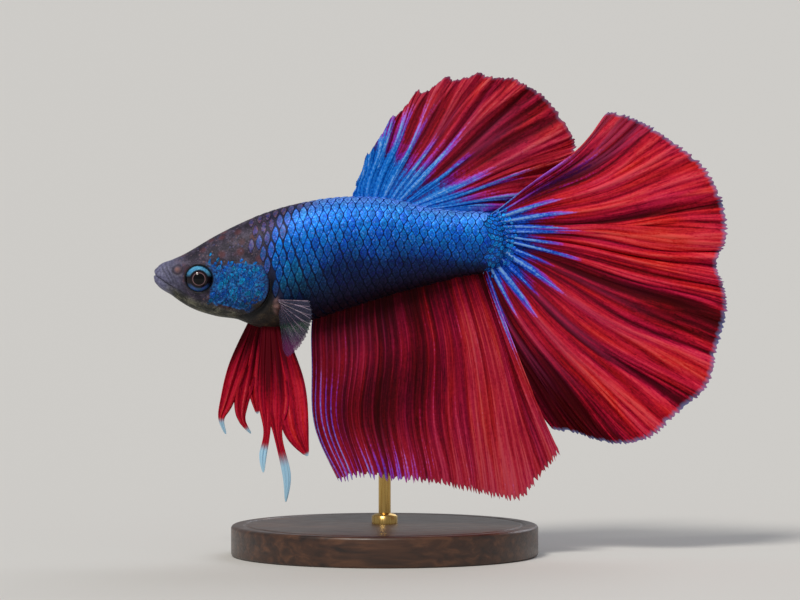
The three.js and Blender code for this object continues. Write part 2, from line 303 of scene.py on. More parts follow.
def lineDistance(x, z, corners):  # distance in the side view to a bent line
    best = np.full_like(x, 1e9)
    for (ax, az), (bx, bz) in zip(corners, corners[1:]):
        dx, dz = bx - ax, bz - az
        t = np.clip(((x - ax) * dx + (z - az) * dz) / (dx * dx + dz * dz), 0, 1)
        best = np.minimum(best, np.hypot(x - ax - t * dx, z - az - t * dz))
    return best


def headPlace(x, z, name):  # how far x and z are from a place on the head
    return x - head[name][0], z - head[name][1]


def gillPlace(x, z):  # distance and direction from the middle of the gill cover
    gx, gz = headPlace(x, z, "gillCentre")
    return np.hypot(gx, gz), np.degrees(np.arctan2(gz, gx))


def finRoot(x, z):  # 1 at the edge of the pectoral fin's fleshy root, and the creases that run out over it
    rx, rz = headPlace(x, z, "finRoot")
    wide, tall = head["finRootHalf"]
    return np.hypot(rx / wide, rz / tall), np.cos(9 * np.arctan2(rz, rx + 1.2))


def headRelief(x, y, z):  # height over the plain skin, in mm
    side = smoothStep(np.abs(y), 0.5, 1.2)
    gape = lineDistance(x, z, head["gape"])
    relief = smoothStep(x, 3.2, 1.8) * (0.22 * bump(gape - head["lipWidth"], 0.32) - 0.16 * bump(gape, 0.1))
    relief += 0.3 * smoothStep(x, 0.05, 0.5) * smoothStep(x, 2.4, 0.8)  # full, puckered lips
    relief -= 0.08 * side * bump(lineDistance(x, z, head["jawHinge"]), 0.2)
    for fold in head["lipFolds"]:
        relief -= 0.07 * side * bump(lineDistance(x, z, fold), 0.1)
    nostril = np.hypot(*headPlace(x, z, "nostril"))
    relief += side * (0.3 * bump(nostril, 0.34) - 0.14 * bump(nostril - 0.6, 0.15))
    eye = np.hypot(*headPlace(x, z, "eye"))
    relief -= side * 1.3 * smoothStep(eye, head["socket"] + 0.02, head["socket"] - 0.16)
    relief += side * (0.15 * bump(eye - 1.95, 0.17) - 0.07 * bump(eye - 2.4, 0.2))  # the rim of the socket
    gill, turn = gillPlace(x, z)
    gillEdge = head["gillRadius"]
    soft = 0.08 + 1.4 * smoothStep(turn, 0, 42)  # the gill cover's edge fades out towards the nape
    relief += 0.12 * smoothStep(x, 7.5, 10.5) * smoothStep(gill, gillEdge, gillEdge - soft)
    behind = smoothStep(x, 9.5, 11.5) * smoothStep(turn, -115, -70) * smoothStep(turn, 42, 0)
    opening = smoothStep(gill, gillEdge - 0.05, gillEdge + 0.1)
    opening *= smoothStep(gill, gillEdge + 1.0, gillEdge + 0.1)
    relief -= 0.42 * behind * opening
    for fold in head["cheekFolds"]:
        line = lineDistance(x, z, fold)
        relief += side * (0.05 * bump(line - 0.25, 0.14) - 0.09 * bump(line, 0.11))
    overChin = z - np.interp(x, stationX, bellyLine)
    chin = smoothStep(x, 1.5, 3.5) * smoothStep(x, 13.5, 11) * side
    for height in head["chinFolds"]:
        relief -= 0.08 * chin * bump(overChin - height, 0.11)
    root, creases = finRoot(x, z)
    return relief + (0.34 + 0.1 * creases) * side * smoothStep(root, 1.5, 0.3)


def skinPoint(x, t, lift=0.0):
    plain, normal = bodyPoint(x, t), bodyNormal(x, t)
    height = headRelief(*plain.T) - body["coatDepth"] + lift
    return plain + normal * np.asarray(height)[:, None]


skinGrid = {"columns": 380, "rows": 220}


def makeSkin():
    skin, s, v = newGrid("skin", skinGrid["columns"], skinGrid["rows"])
    skin.data.uv_layers[0].name = "OFBake"
    x = bodyLength * (0.6 * s + 0.4 * s ** 3)  # the head gets most of the rings
    t = 2 * v - 1
    points = skinPoint(x, t)
    points[np.abs(t) > 0.9999, 1] = 0
    setPoints(skin, toFrame(points))
    x, y, z = bodyPoint(x, t).T
    gill, turn = gillPlace(x, z)
    overChin = z - np.interp(x, stationX, bellyLine)
    side = smoothStep(np.abs(y), 0.6, 1.5)
    cheek = smoothStep(x, 6.6, 8.2) * smoothStep(z, 2.4, 0.6) * smoothStep(overChin, 1.2, 2.2)
    soft = 0.5 * smoothStep(turn, 5, 40)
    cheek *= np.where(x > 11, smoothStep(gill, 4.1 + soft, 3.9 - soft), 1)
    overEye = 0.75 * bump(np.hypot(x - 7.6, z - 1.2), 1.1)
    # painted shade: in the gill opening behind the cover, round the eye socket, round the nostril, along the
    # gape and in the skin's folds
    behind = smoothStep(x, 9.5, 11.5) * smoothStep(turn, -125, -85) * smoothStep(turn, 32, -8)
    opening = behind * smoothStep(gill, 3.98, 4.08) * smoothStep(gill, 5.3, 4.5)
    nostril = np.hypot(*headPlace(x, z, "nostril"))
    dark = bump(np.hypot(*headPlace(x, z, "eye")) - 1.78, 0.22) + 0.5 * bump(nostril - 0.62, 0.14)
    dark += 0.6 * smoothStep(x, 3.0, 1.8) * bump(lineDistance(x, z, head["gape"]), 0.1)
    folds = [(0.35, 0.2, head["jawHinge"])]  # how much painted shade, how wide and where
    folds += [(0.55, 0.12, fold) for fold in head["lipFolds"]]
    folds += [(0.6, 0.1, fold) for fold in head["cheekFolds"]]
    for depth, width, fold in folds:
        dark += depth * bump(lineDistance(x, z, fold), width)
    root, creases = finRoot(x, z)
    finFlesh = (0.55 + 0.25 * creases) * smoothStep(root, 1.6, 0.5)
    setAttributes(
        skin,
        cheek=np.maximum(cheek, overEye) * side,
        lips=smoothStep(x, 4.6, 1.4),
        chin=smoothStep(overChin, 2.0, 0.9) * smoothStep(x, 1.0, 3.0) * smoothStep(x, 15, 13),
        shadow=np.clip(opening + dark * side, 0, 1),
        scaled=smoothStep(x - np.clip(-1.5 - z, 0, 4), 13.2, 15.8),
        flesh=np.maximum(bump(nostril, 0.4), finFlesh) * side,
        breast=smoothStep(x, 10.5, 13.5) * smoothStep(z, -1.6, -3.6) * smoothStep(x, 21, 18),
        tail=smoothStep(x, 42.4, 43.4) * smoothStep(bellyDarkAndShade(x, z), 0.9, 0.6),
    )
    weld(skin)
    finishPiece(skin, headSkin(), "dusky_head_skin", "head", "lower_jaw", "gill_cover_left",
                "gill_cover_right", "trunk", "tail_stalk")


def headSkin():
    # Painted resin cast of thin, slimy fish skin: matt colour under a wet gloss, with mottled spots.
    material, add = newMaterial("wetFishSkin")
    place = add("TexCoord").outputs["Object"]
    cheek, lips, chin, shadow, scaled, flesh, breast, tail = (
        add("Attribute", attribute_name=name).outputs["Fac"]
        for name in ("cheek", "lips", "chin", "shadow", "scaled", "flesh", "breast", "tail"))
    mottle = add("TexNoise", {"Vector": place, "Scale": 900, "Detail": 4})  # 1.1 mm blotches
    grain = add("TexNoise", {"Vector": place, "Scale": 3500, "Detail": 3})  # 0.3 mm grain
    fine = add("TexNoise", {"Vector": place, "Scale": 6000, "Detail": 2})  # 0.15 mm grain
    spots = add("TexVoronoi", {"Vector": place, "Scale": 620})  # 1.6 mm apart
    specks = add("TexVoronoi", {"Vector": place, "Scale": 1900})  # 0.5 mm apart
    finer = add("Math", {0: fine, 1: 0.7, 2: -0.35}, operation="MULTIPLY_ADD")
    tone = add("Math", {0: mottle, 1: finer}, operation="ADD")
    skin = add("ValToRGB", {"Fac": tone}, [(0.3, "#1a1626"), (0.5, "#2f283a"), (0.7, "#50475c")])
    rust = add("ValToRGB", {"Fac": spots}, [(0.18, "#ffffff"), (0.42, "#000000")])
    rusty = add("Math", {0: rust, 1: mottle}, operation="MULTIPLY")
    dots = add("MapRange", {0: specks, 1: 0.32, 2: 0.12, 3: 0.0, 4: 0.55})
    own = add("SeparateColor", {0: specks.outputs["Color"]})
    dotColour = add("ValToRGB", {"Fac": own}, [(0.1, "#6c6078"), (0.5, "#7e5c58"), (0.85, "#5c5c96")])
    lipColour = add("ValToRGB", {"Fac": grain}, [(0.3, "#4a4966"), (0.7, "#7d7e9e")])
    chinColour = add("ValToRGB", {"Fac": tone}, [(0.35, "#22231f"), (0.5, "#3c3c34"), (0.68, "#6e6c5c")])
    blue = add("ValToRGB", {"Fac": grain},
               [(0.34, "#06204c"), (0.46, "#0a4288"), (0.58, "#1664b0"), (0.7, "#2a8cc4")])
    ragged = add("Math", {0: mottle, 1: 0.5}, operation="SUBTRACT")
    torn = add("Math", {0: ragged, 1: 1.6, 2: cheek}, operation="MULTIPLY_ADD")
    cheekEdge = add("MapRange", {0: torn, 1: 0.4, 2: 0.62})
    breastColour = add("ValToRGB", {"Fac": tone}, [(0.35, "#120e0e"), (0.55, "#261d17"), (0.75, "#4a3c2c")])
    navy = add("Mix", {0: tail, 6: "#07133a", 7: "#10489c"}, data_type="RGBA")
    for share, colour in ((rusty, "#642e2e"), (dots, dotColour), (lips, lipColour), (chin, chinColour),
                          (cheekEdge, blue), (breast, breastColour), (scaled, navy), (flesh, "#86625f"),
                          (shadow, "#07060b")):
        skin = add("Mix", {0: share, 6: skin, 7: colour}, data_type="RGBA")
    height = add("Math", {0: grain, 1: mottle}, operation="ADD")
    relief = add("Bump", {"Strength": 0.5, "Distance": 0.08 * mm, "Height": height})
    surface = add("BsdfPrincipled", {"Base Color": skin, "Roughness": 0.55, "IOR": 1.36, "Normal": relief})
    add("OutputMaterial", {"Surface": surface})
    return material


# scales: one shield-shaped plate, bent over the skin row by row

scales = {
    "pitch": 1.04,  # from one scale to the next along a row
    "rowHeights": [(13, 1.85), (18, 1.7), (22, 1.45), (28, 1.28), (46, 1.05)],  # by distance from the snout
    "lengths": [(12, 0.94), (16, 0.98), (20, 1.04), (46, 1.08)],  # in pitches, by distance from the snout
    "heights": [(12, 1.36), (14.5, 1.42), (17.5, 1.66), (22, 1.68), (46, 1.7)],  # in rows
    "pointed": 1.33,  # 2 is an oval plate, less draws its four ends out
    "gap": 0.03,  # between a plate's front edge and the skin's outer surface
    "thickness": 0.05,
    "tilt": 0.05,
    "dome": 0.07,
    "faces": 4,  # along each side of a plate's grid
    "patch": 0.5,  # a plate's size in its bake map, as a share of its own
    "from": 12.2, "to": 43.4, "overBreast": -6.5,
    "behindGill": 0.5,  # bare skin between the gill cover and the first scales
    "darkBelow": [(12, -3.5), (15, -1.6), (17, -0.8), (20, 0.6), (24, 2.5), (32, 2.8), (38, 2.4), (42, 1.9),
                  (46, 1.4)],  # height where the blue gives way to the darker belly, by distance from the snout
    "blueFrom": [(-6, 13.0), (0, 13.0), (3, 13.4), (5.5, 14.6), (8, 16.6), (10, 20.0)],  # by height
}


def straight(stops, x):  # a straight line through (place, value) stops
    return np.interp(x, *np.array(stops).T)


def scaleShape():  # points from -1 to 1, with the thickness as z from 0 to 1, and the faces
    plate, u, v = newGrid("scaleShape", scales["faces"], scales["faces"])
    a, b = 2 * u - 1, 2 * v - 1
    setPoints(plate, np.stack([a * np.sqrt(1 - b * b / 2), b * np.sqrt(1 - a * a / 2), 0 * a], 1))
    applyModifier(plate, "SOLIDIFY", thickness=1, offset=-1)
    points = pointsOf(plate)
    faces = [list(face.vertices) for face in plate.data.polygons]
    bpy.data.objects.remove(plate)
    return points, faces


# darker towards the belly: partly the fish's own dark belly, partly painted shade from light falling from
# above
def bellyDarkAndShade(x, z):  # 0 on the back, 0.5 where the blue gives way, 1 on the belly
    edge = straight(scales["darkBelow"], x)
    back, belly = np.interp(x, stationX, backLine), np.interp(x, stationX, bellyLine)
    above = 0.5 * (back - z) / (back - edge)
    below = 0.5 + 0.5 * (edge - z) / np.maximum(edge - belly, 0.5)
    return np.clip(np.where(z > edge, above, below), 0, 1)


def makeCoat(name, place, centre, size, pointed, patch, looks):
    # place(x, y, rise) gives the points; centre and size of each scale are in the same two measures
    shape, faces = scaleShape()
    n, k = len(centre), len(shape)
    a, b, c = (np.tile(column, n) for column in shape.T)
    owner = np.repeat(np.arange(n), k)
    reach = np.maximum(np.hypot(a, b), 1e-6)
    drawn = reach / np.maximum((np.abs(a) ** pointed + np.abs(b) ** pointed) ** (1 / pointed), 1e-6)
    offset = np.stack([a * drawn, b * drawn], 1) * size[owner] / 2
    rise = scales["gap"] + scales["tilt"] * (a + 1) + scales["dome"] * (1 - reach ** 2)
    rise += scales["thickness"] * c
    points = place(*(centre[owner] + offset).T, rise * (1 - 0.7 * looks["dull"][owner]))
    mesh = bpy.data.meshes.new(name)
    plates = [[i * k + v for v in face] for i in range(n) for face in faces]
    mesh.from_pydata(toFrame(points).tolist(), [], plates)
    coat = bpy.data.objects.new(name, mesh)
    bpy.context.scene.collection.objects.link(coat)
    addMap(coat, "scaleMap", a / 2 + 0.5, b / 2 + 0.5)
    spot = centre[owner] + offset * patch  # each scale is a patch at its root's place on the unrolled skin
    addMap(coat, "OFBake", *(0.02 + 0.96 * (spot - spot.min(0)) / np.ptp(spot, 0)).T)
    setAttributes(coat, **{label: values(points) if callable(values) else values[owner]
                           for label, values in looks.items()})
    weld(coat)
    print(n, "scales on", name)
    finishPiece(coat, scaleLayer(), "blue_scaled_skin")


def onBody(x, arc, rise):  # arc is measured round the body from the back, in mm
    return skinPoint(x, arc / np.interp(x, stationX, halfGirth), rise)


def bodyScales():
    places = []
    for column, x in enumerate(np.arange(scales["from"], bodyLength + 0.3, scales["pitch"] / 2)):
        height = straight(scales["rowHeights"], x)
        girth = np.interp(x, stationX, halfGirth)
        reach = int(girth / height) + 2
        for arc in (2 * np.arange(-reach, reach + 1) + column % 2) * height:
            if -girth < arc <= girth:
                places.append((x, arc, height))
    x, arc, height = np.array(places).T
    x += chance.normal(0, 0.03, len(x))
    px, pz = bodyPoint(x, arc / np.interp(x, stationX, halfGirth))[:, [0, 2]].T
    gill, turn = gillPlace(px, pz)
    clear = head["gillRadius"] + scales["behindGill"] - 0.2 * smoothStep(turn, 5, 35)
    keep = (px > np.where(pz > 2.5, 12.4, 14.2)) & (px < scales["to"]) & (gill > clear)
    keep &= (pz > scales["overBreast"]) & ((px > 17) | (pz > -1.7))
    x, arc, height, px, pz = (values[keep] for values in (x, arc, height, px, pz))
    blueFrom = straight(scales["blueFrom"], pz)
    teal = bump(np.hypot(px - 19, (pz + 0.6) * 1.4), 3.2)
    looks = {
        "hue": 0.5 + chance.normal(0, 0.004, len(x)) - 0.038 * teal,
        "shine": chance.normal(1, 0.07, len(x)),
        "flank": lambda points: bellyDarkAndShade(points[:, 0], points[:, 2]),
        "dull": smoothStep(px + chance.normal(0, 0.5, len(x)), blueFrom + 3.2, blueFrom - 1.0),
    }
    length, width = scales["pitch"] * straight(scales["lengths"], x), height * straight(scales["heights"], x)
    size = np.stack([length, width], 1) * (1 - 0.15 * looks["dull"])[:, None]
    makeCoat("bodyScales", onBody, np.stack([x, arc], 1), size, scales["pointed"], scales["patch"], looks)


cheekPlates = {
    "pitch": 0.72, "jitter": 0.2, "size": (0.4, 1.3), "rise": 0.3, "pointed": 1.5, "patch": 0.25,
    "from": 7.2, "to": 15.2, "top": 2.1, "overChin": 1.8, "fromEye": 2.6, "fromEdge": 0.5,
    "flank": [(-4.5, 0.56), (-2.5, 0.45), (0, 0.38), (2, 0.4)],  # how dark, by height
}


def cheekScales():
    step = cheekPlates["pitch"]
    places = [(x, z) for column, x in enumerate(np.arange(cheekPlates["from"], cheekPlates["to"], step * 0.8))
              for z in np.arange(-6, 4, step) + (column % 2) * step / 2]
    x, z = (np.array(places) + chance.normal(0, cheekPlates["jitter"], (len(places), 2))).T
    gill = gillPlace(x, z)[0]
    top = cheekPlates["top"] - 0.5 * bump(x - 12, 2) + 0.2 * np.sin(3 * x) + chance.normal(0, 0.4, len(x))
    keep = (np.hypot(*headPlace(x, z, "eye")) > cheekPlates["fromEye"]) & (z < top)
    keep &= z - np.interp(x, stationX, bellyLine) > cheekPlates["overChin"]
    keep &= (gill < head["gillRadius"] - cheekPlates["fromEdge"]) | (x < 10)
    x, z = x[keep], z[keep]
    size = chance.uniform(*cheekPlates["size"], (len(x), 2)) * [1, 0.95]
    size *= (1 - 0.45 * smoothStep(z, 1.0, 2.4))[:, None]
    arc = bodyT(x, z) * np.interp(x, stationX, halfGirth)
    looks = {"hue": chance.uniform(0.455, 0.505, 2 * len(x)), "shine": chance.uniform(0.7, 1.35, 2 * len(x)),
             "dull": np.zeros(2 * len(x)), "flank": np.tile(straight(cheekPlates["flank"], z), 2)}
    makeCoat("cheekScales", lambda u, w, rise: onBody(u, w, rise * cheekPlates["rise"] - 0.03),
             np.stack([np.tile(x, 2), np.concatenate([-arc, arc])], 1), np.tile(size, (2, 1)),
             cheekPlates["pointed"], cheekPlates["patch"], looks)


@cache
def scaleLayer():
    # Guanine-backed scales: soft metallic blue breaking to turquoise and violet, each plate dark at its rim.
    material, add = newMaterial("iridescentScale")
    place = add("TexCoord").outputs["Object"]
    hue, shine, flank, dull = (add("Attribute", attribute_name=name).outputs["Fac"]
                               for name in ("hue", "shine", "flank", "dull"))
    plate = add("UVMap", uv_map="scaleMap")
    centred = add("VectorMath", {0: plate, 1: (0.5, 0.5, 0)}, operation="SUBTRACT")
    reach = add("VectorMath", {0: centred}, operation="LENGTH")
    rim = add("MapRange", {0: reach, 1: 0.37, 2: 0.465}, interpolation_type="SMOOTHSTEP")
    halo = add("MapRange", {0: reach, 1: 0.12, 2: 0.36, 3: 0.86, 4: 1.18},
               interpolation_type="SMOOTHSTEP")  # each plate is paler round its darker middle
    drift = add("TexNoise", {"Vector": place, "Scale": 300, "Detail": 2})  # 3 mm drifts
    tint = add("TexNoise", {"Vector": place, "Scale": 2600, "Detail": 1})  # 0.4 mm patches of another hue
    fleck = add("TexNoise", {"Vector": place, "Scale": 4500, "Detail": 2})  # 0.2 mm flecks
    cells = add("TexVoronoi", {"Vector": place, "Scale": 2400})  # 0.4 mm apart
    # the plates' blue is palest along the back and darkest on the belly: partly their own colour, partly a
    # painted highlight from above and painted shade below
    down = add("Math", {0: drift, 1: 0.12, 2: flank}, operation="MULTIPLY_ADD")
    blueWithPaintedLight = add("ValToRGB", {"Fac": down},
              [(0.04, "#6294f0"), (0.14, "#2c7ee8"), (0.27, "#0c6ad4"), (0.4, "#0954b0"), (0.52, "#0a3e8c"),
               (0.62, "#0a235a"), (0.8, "#10183e"), (1.0, "#1c101c")])
    value = add("MapRange", {0: fleck, 1: 0.36, 2: 0.64, 3: 0.6, 4: 1.45})
    for factor in (halo, shine):
        value = add("Math", {0: value, 1: factor}, operation="MULTIPLY")
    turned = add("Math", {0: tint, 1: 0.05, 2: -0.027}, operation="MULTIPLY_ADD")
    ownHue = add("Math", {0: turned, 1: hue}, operation="ADD")
    varied = add("HueSaturation", {"Hue": ownHue, "Value": value, "Color": blueWithPaintedLight})
    # painted glints: a brighter copy of the plates' blue in 0.4 mm cells, strongest towards the head
    glintColour = add("HueSaturation", {"Saturation": 0.85, "Value": 1.7, "Color": varied})
    glint = add("MapRange", {0: cells, 1: 0.32, 2: 0.1, 3: 0.0, 4: 0.75})
    front, behind = toFrame([15, 0, 0])[0], toFrame([27, 0, 0])[0]
    forward = add("MapRange", {0: add("SeparateXYZ", {0: place}), 1: front, 2: behind, 3: 1.0, 4: 0.6})
    glinting = add("Math", {0: glint, 1: forward}, operation="MULTIPLY")
    # the rims darken towards the belly the same way, partly with painted shade
    edge = add("ValToRGB", {"Fac": flank},
               [(0.0, "#0c3a94"), (0.3, "#062460"), (0.55, "#050f30"), (0.9, "#040818")])
    nape = add("ValToRGB", {"Fac": tint},
               [(0.33, "#231d2c"), (0.42, "#443a50"), (0.5, "#46488c"), (0.58, "#6a3e48"), (0.66, "#62607a")])
    violet = add("MapRange", {0: reach, 1: 0.3, 2: 0.1, 3: 0.0, 4: 0.5})
    bluePlate = add("Mix", {0: glinting, 6: varied, 7: glintColour}, data_type="RGBA")
    napePlate = add("Mix", {0: violet, 6: nape, 7: "#3c4684"}, data_type="RGBA")
    plateColour = add("Mix", {0: dull, 6: bluePlate, 7: napePlate}, data_type="RGBA")
    rimColour = add("Mix", {0: dull, 6: edge, 7: "#2a2229"}, data_type="RGBA")
    colour = add("Mix", {0: rim, 6: plateColour, 7: rimColour}, data_type="RGBA")
    relief = add("Bump", {"Strength": 0.35, "Distance": 0.05 * mm, "Height": fleck})
    surface = add("BsdfPrincipled", {"Base Color": colour, "Metallic": 0.25, "Roughness": 0.46,
                                     "Specular IOR Level": 0.12, "Normal": relief})
    add("OutputMaterial", {"Surface": surface})
    return material


makeSkin()
bodyScales()
cheekScales()


# eyes: a flattened ball with a clear bulging cornea over a ringed iris

eyes = {"out": 1.9, "radius": 1.85, "depth": 1.45, "bulge": 0.22, "pupil": 0.78}


def makeEye(name, node, side):
    selectOnly()
    bpy.ops.mesh.primitive_uv_sphere_add(segments=96, ring_count=64, radius=1)
    eye = bpy.context.object
    eye.name = name
    x, z, y = pointsOf(eye).T  # the poles point out to the sides
    reach = np.hypot(x, z) * eyes["radius"]
    depth = eyes["depth"] * y + side * (y * side > 0) * eyes["bulge"] * bump(reach, eyes["pupil"] * 1.3)
    cx, cz = head["eye"]
    setPoints(eye, toFrame(np.stack([cx + x * eyes["radius"], side * eyes["out"] + depth,
                                     cz + z * eyes["radius"]], 1)))
    weld(eye)
    finishPiece(eye, eyeball(), "eye", node)


@cache
def eyeball():
    # Glass museum eye: painted iris rings under a hard, mirror-smooth clear dome.
    material, add = newMaterial("paintedGlassEye")
    place = add("TexCoord").outputs["Object"]
    x, y, z = toFrame([head["eye"][0], 0, head["eye"][1]])
    centred = add("VectorMath", {0: place, 1: (x, 0, z)}, operation="SUBTRACT")
    flat = add("VectorMath", {0: centred, 1: (1 / mm, 0, 1 / mm)}, operation="MULTIPLY")
    reach = add("VectorMath", {0: flat}, operation="LENGTH")
    height = add("SeparateXYZ", {0: flat}).outputs["Z"]
    fibre = add("TexNoise", {"Vector": place, "Scale": 3200, "Detail": 3})  # 0.3 mm fibres
    part = add("Math", {0: reach, 1: 2.0}, operation="DIVIDE")
    colour = add("ValToRGB", {"Fac": part}, [
        (0.0, "#040306"), (0.37, "#050408"), (0.40, "#8d6f74"), (0.43, "#3a262c"), (0.5, "#120c12"),
        (0.62, "#1a1016"), (0.8, "#0a080e"), (0.88, "#07070c"), (0.95, "#322c3a")])
    band = add("ValToRGB", {"Fac": part},
               [(0.56, "#000000"), (0.64, "#ffffff"), (0.8, "#ffffff"), (0.9, "#000000")])
    for low, high, stops in ((0.15, 1.0, [(0.3, "#3374ac"), (0.7, "#68bce4")]),
                             (-0.45, -1.2, [(0.35, "#1d5a78"), (0.65, "#4456a8")])):  # blue above and below
        arc = add("MapRange", {0: height, 1: low, 2: high}, interpolation_type="SMOOTHSTEP")
        share = add("Math", {0: arc, 1: band}, operation="MULTIPLY")
        blue = add("ValToRGB", {"Fac": fibre}, stops)
        colour = add("Mix", {0: share, 6: colour, 7: blue}, data_type="RGBA")
    surface = add("BsdfPrincipled", {"Base Color": colour, "Roughness": 0.07, "IOR": 1.4,
                                     "Specular IOR Level": 0.3})
    add("OutputMaterial", {"Surface": surface})
    return material


makeEye("eyeLeft", "eye_left", -1)
makeEye("eyeRight", "eye_right", 1)


# fins: a fan between its root line and its ray tips, folded, with forking rays and a ragged edge

def splinePoint(corners, u):  # a smooth curve through the corners, evenly spread over them
    corners = np.array(corners, dtype=float)
    place = u * (len(corners) - 1)
    i = np.clip(place.astype(int), 0, len(corners) - 2)
    before, after = corners[np.maximum(i - 1, 0)], corners[np.minimum(i + 2, len(corners) - 1)]
    near, far = corners[i], corners[i + 1]
    return curve((place - i)[:, None], near, far, (far - before) / 2, (after - near) / 2)


def profile(stops, u):  # a soft line through (place, value) stops
    place, value = np.array(stops).T
    i = np.clip(np.searchsorted(place, u, side="right") - 1, 0, len(place) - 2)
    return value[i] + (value[i + 1] - value[i]) * smoothStep(u, place[i], place[i + 1])


def rayNumber(u, fin):  # the rays may stand closer together towards the rear
    return u * fin["rays"] * (1 + fin["closer"] * (u - 1))


def fromRay(u, fin):  # 0 on a ray and 0.5 midway between two
    return np.abs((rayNumber(u, fin) + 0.5) % 1 - 0.5)


def rayCrest(u, v, fin):  # 1 along the crest of a ray, which forks again and again on its way out
    off = fromRay(u, fin)
    spread = 0.25 * smoothStep(u, *fin["forkFrom"])
    for fork in fin["forks"]:
        off = np.abs(off - spread * smoothStep(v, fork, 1.15))
        spread /= 2
    root, tip = fin["rayWidth"]
    return bump(off, root * (1 - v) ** 1.5 + tip * (1 - (1 - v) ** 1.5))


def finPoints(fin, u, v):
    root, tip = splinePoint(fin["roots"], u), splinePoint(fin["tips"], u)
    ray = tip - root
    length = np.linalg.norm(ray, axis=1)
    forwards = np.stack([-np.abs(ray[:, 1]), ray[:, 0] * np.sign(ray[:, 1])], 1) / length[:, None]
    bow = profile(fin["bow"], u) * 4 * v * (1 - v)
    bow += profile(fin["sway"], u) * np.sin(2 * np.pi * v + fin["swayTurn"] * u) * v * (1 - v) * 4
    bow += fin["waver"] * np.sin(5.5 * v + 3 * np.sin(19 * u) + 41 * u) * v
    crest = rayCrest(u, v, fin)
    ownLength = chance.random(600)[(rayNumber(u, fin) * 8).astype(int) % 600]
    depth, start, end = fin["notch"]  # how deep the edge is cut between the rays, and where along the fin
    notch = depth * smoothStep(u, end, start) * (1 - bump(fromRay(u, fin), 0.14))
    ragged = fin["ragged"] * (crest - 0.5) * (0.2 + 1.4 * ownLength) * v ** 14 - notch * v ** 4
    place = root + ray * (v * (1 + ragged / length))[:, None] + forwards * bow[:, None]
    drift = u + (0.008 * np.sin(4 * v + 23 * u) + 0.004 * np.sin(9 * v + 61 * u)) * v
    fold = profile(fin["folds"], drift)
    fine = np.sin(2 * np.pi * fin["fineFolds"] * drift + 2.5 * np.sin(9 * u) + 1.5 * v)
    fine += 0.6 * np.sin(2 * np.pi * fin["fineFolds"] * 2.3 * drift + 3 * np.sin(7 * u))
    y = (fin["lean"][0] * (1 - u) + fin["lean"][1] * u) * v - fin["rayHeight"] * crest * (1 - 0.45 * v)
    y -= (fin["foldDepth"] * fold + fin["fineDepth"] * fine) * v ** 1.1 * (1 - 0.25 * v)
    # the third value, how far each point stands out in the folds, is used for painted light on the crests and
    # painted shade in the valleys
    return np.stack([place[:, 0], y, place[:, 1]], 1), crest, 0.8 * fold + 0.3 * fine, v * length


def makeFin(name, node, fin, material):
    piece, u, v = newGrid(name, fin["columns"], fin["rows"])
    points, crest, fold, reach = finPoints(fin, u, v)
    flat = points[:, [0, 2]]
    addMap(piece, "OFBake", *(0.01 + (flat - flat.min(0)) / (1.03 * np.ptp(flat, 0).max())).T)
    setPoints(piece, toFrame(points))
    setAttributes(piece, ray=crest, fold=fold, **fin["paint"](u, v, reach, crest, fold))
    applyModifier(piece, "SOLIDIFY", thickness=fin["thickness"] * mm, offset=0)
    turnFolds(piece)
    finishPiece(piece, material, "red_fin_membrane", node)


# the fold values paint light on crests and shade in valleys, so they are turned over for the far side
def turnFolds(piece):  # a fold that is a crest seen from one side is a valley from the other
    normals = np.zeros(len(piece.data.vertices) * 3)
    piece.data.vertices.foreach_get("normal", normals)
    side = -np.sign(normals.reshape(-1, 3)[:, 1])
    fold = piece.data.attributes["fold"]
    values = np.zeros(len(piece.data.vertices))
    fold.data.foreach_get("value", values)
    fold.data.foreach_set("value", np.clip(values * side * 0.5 + 0.5, 0, 1).astype(np.float32))


blueSheen = [(0.1, "#080d40"), (0.3, "#08206e"), (0.5, "#0f50cc"), (0.72, "#2a68f6"), (1.0, "#88c0ff")]
violetSheen = [(0.1, "#340a2c"), (0.33, "#601064"), (0.52, "#8c2eb4"), (0.72, "#a850e4"), (0.95, "#c88cff")]


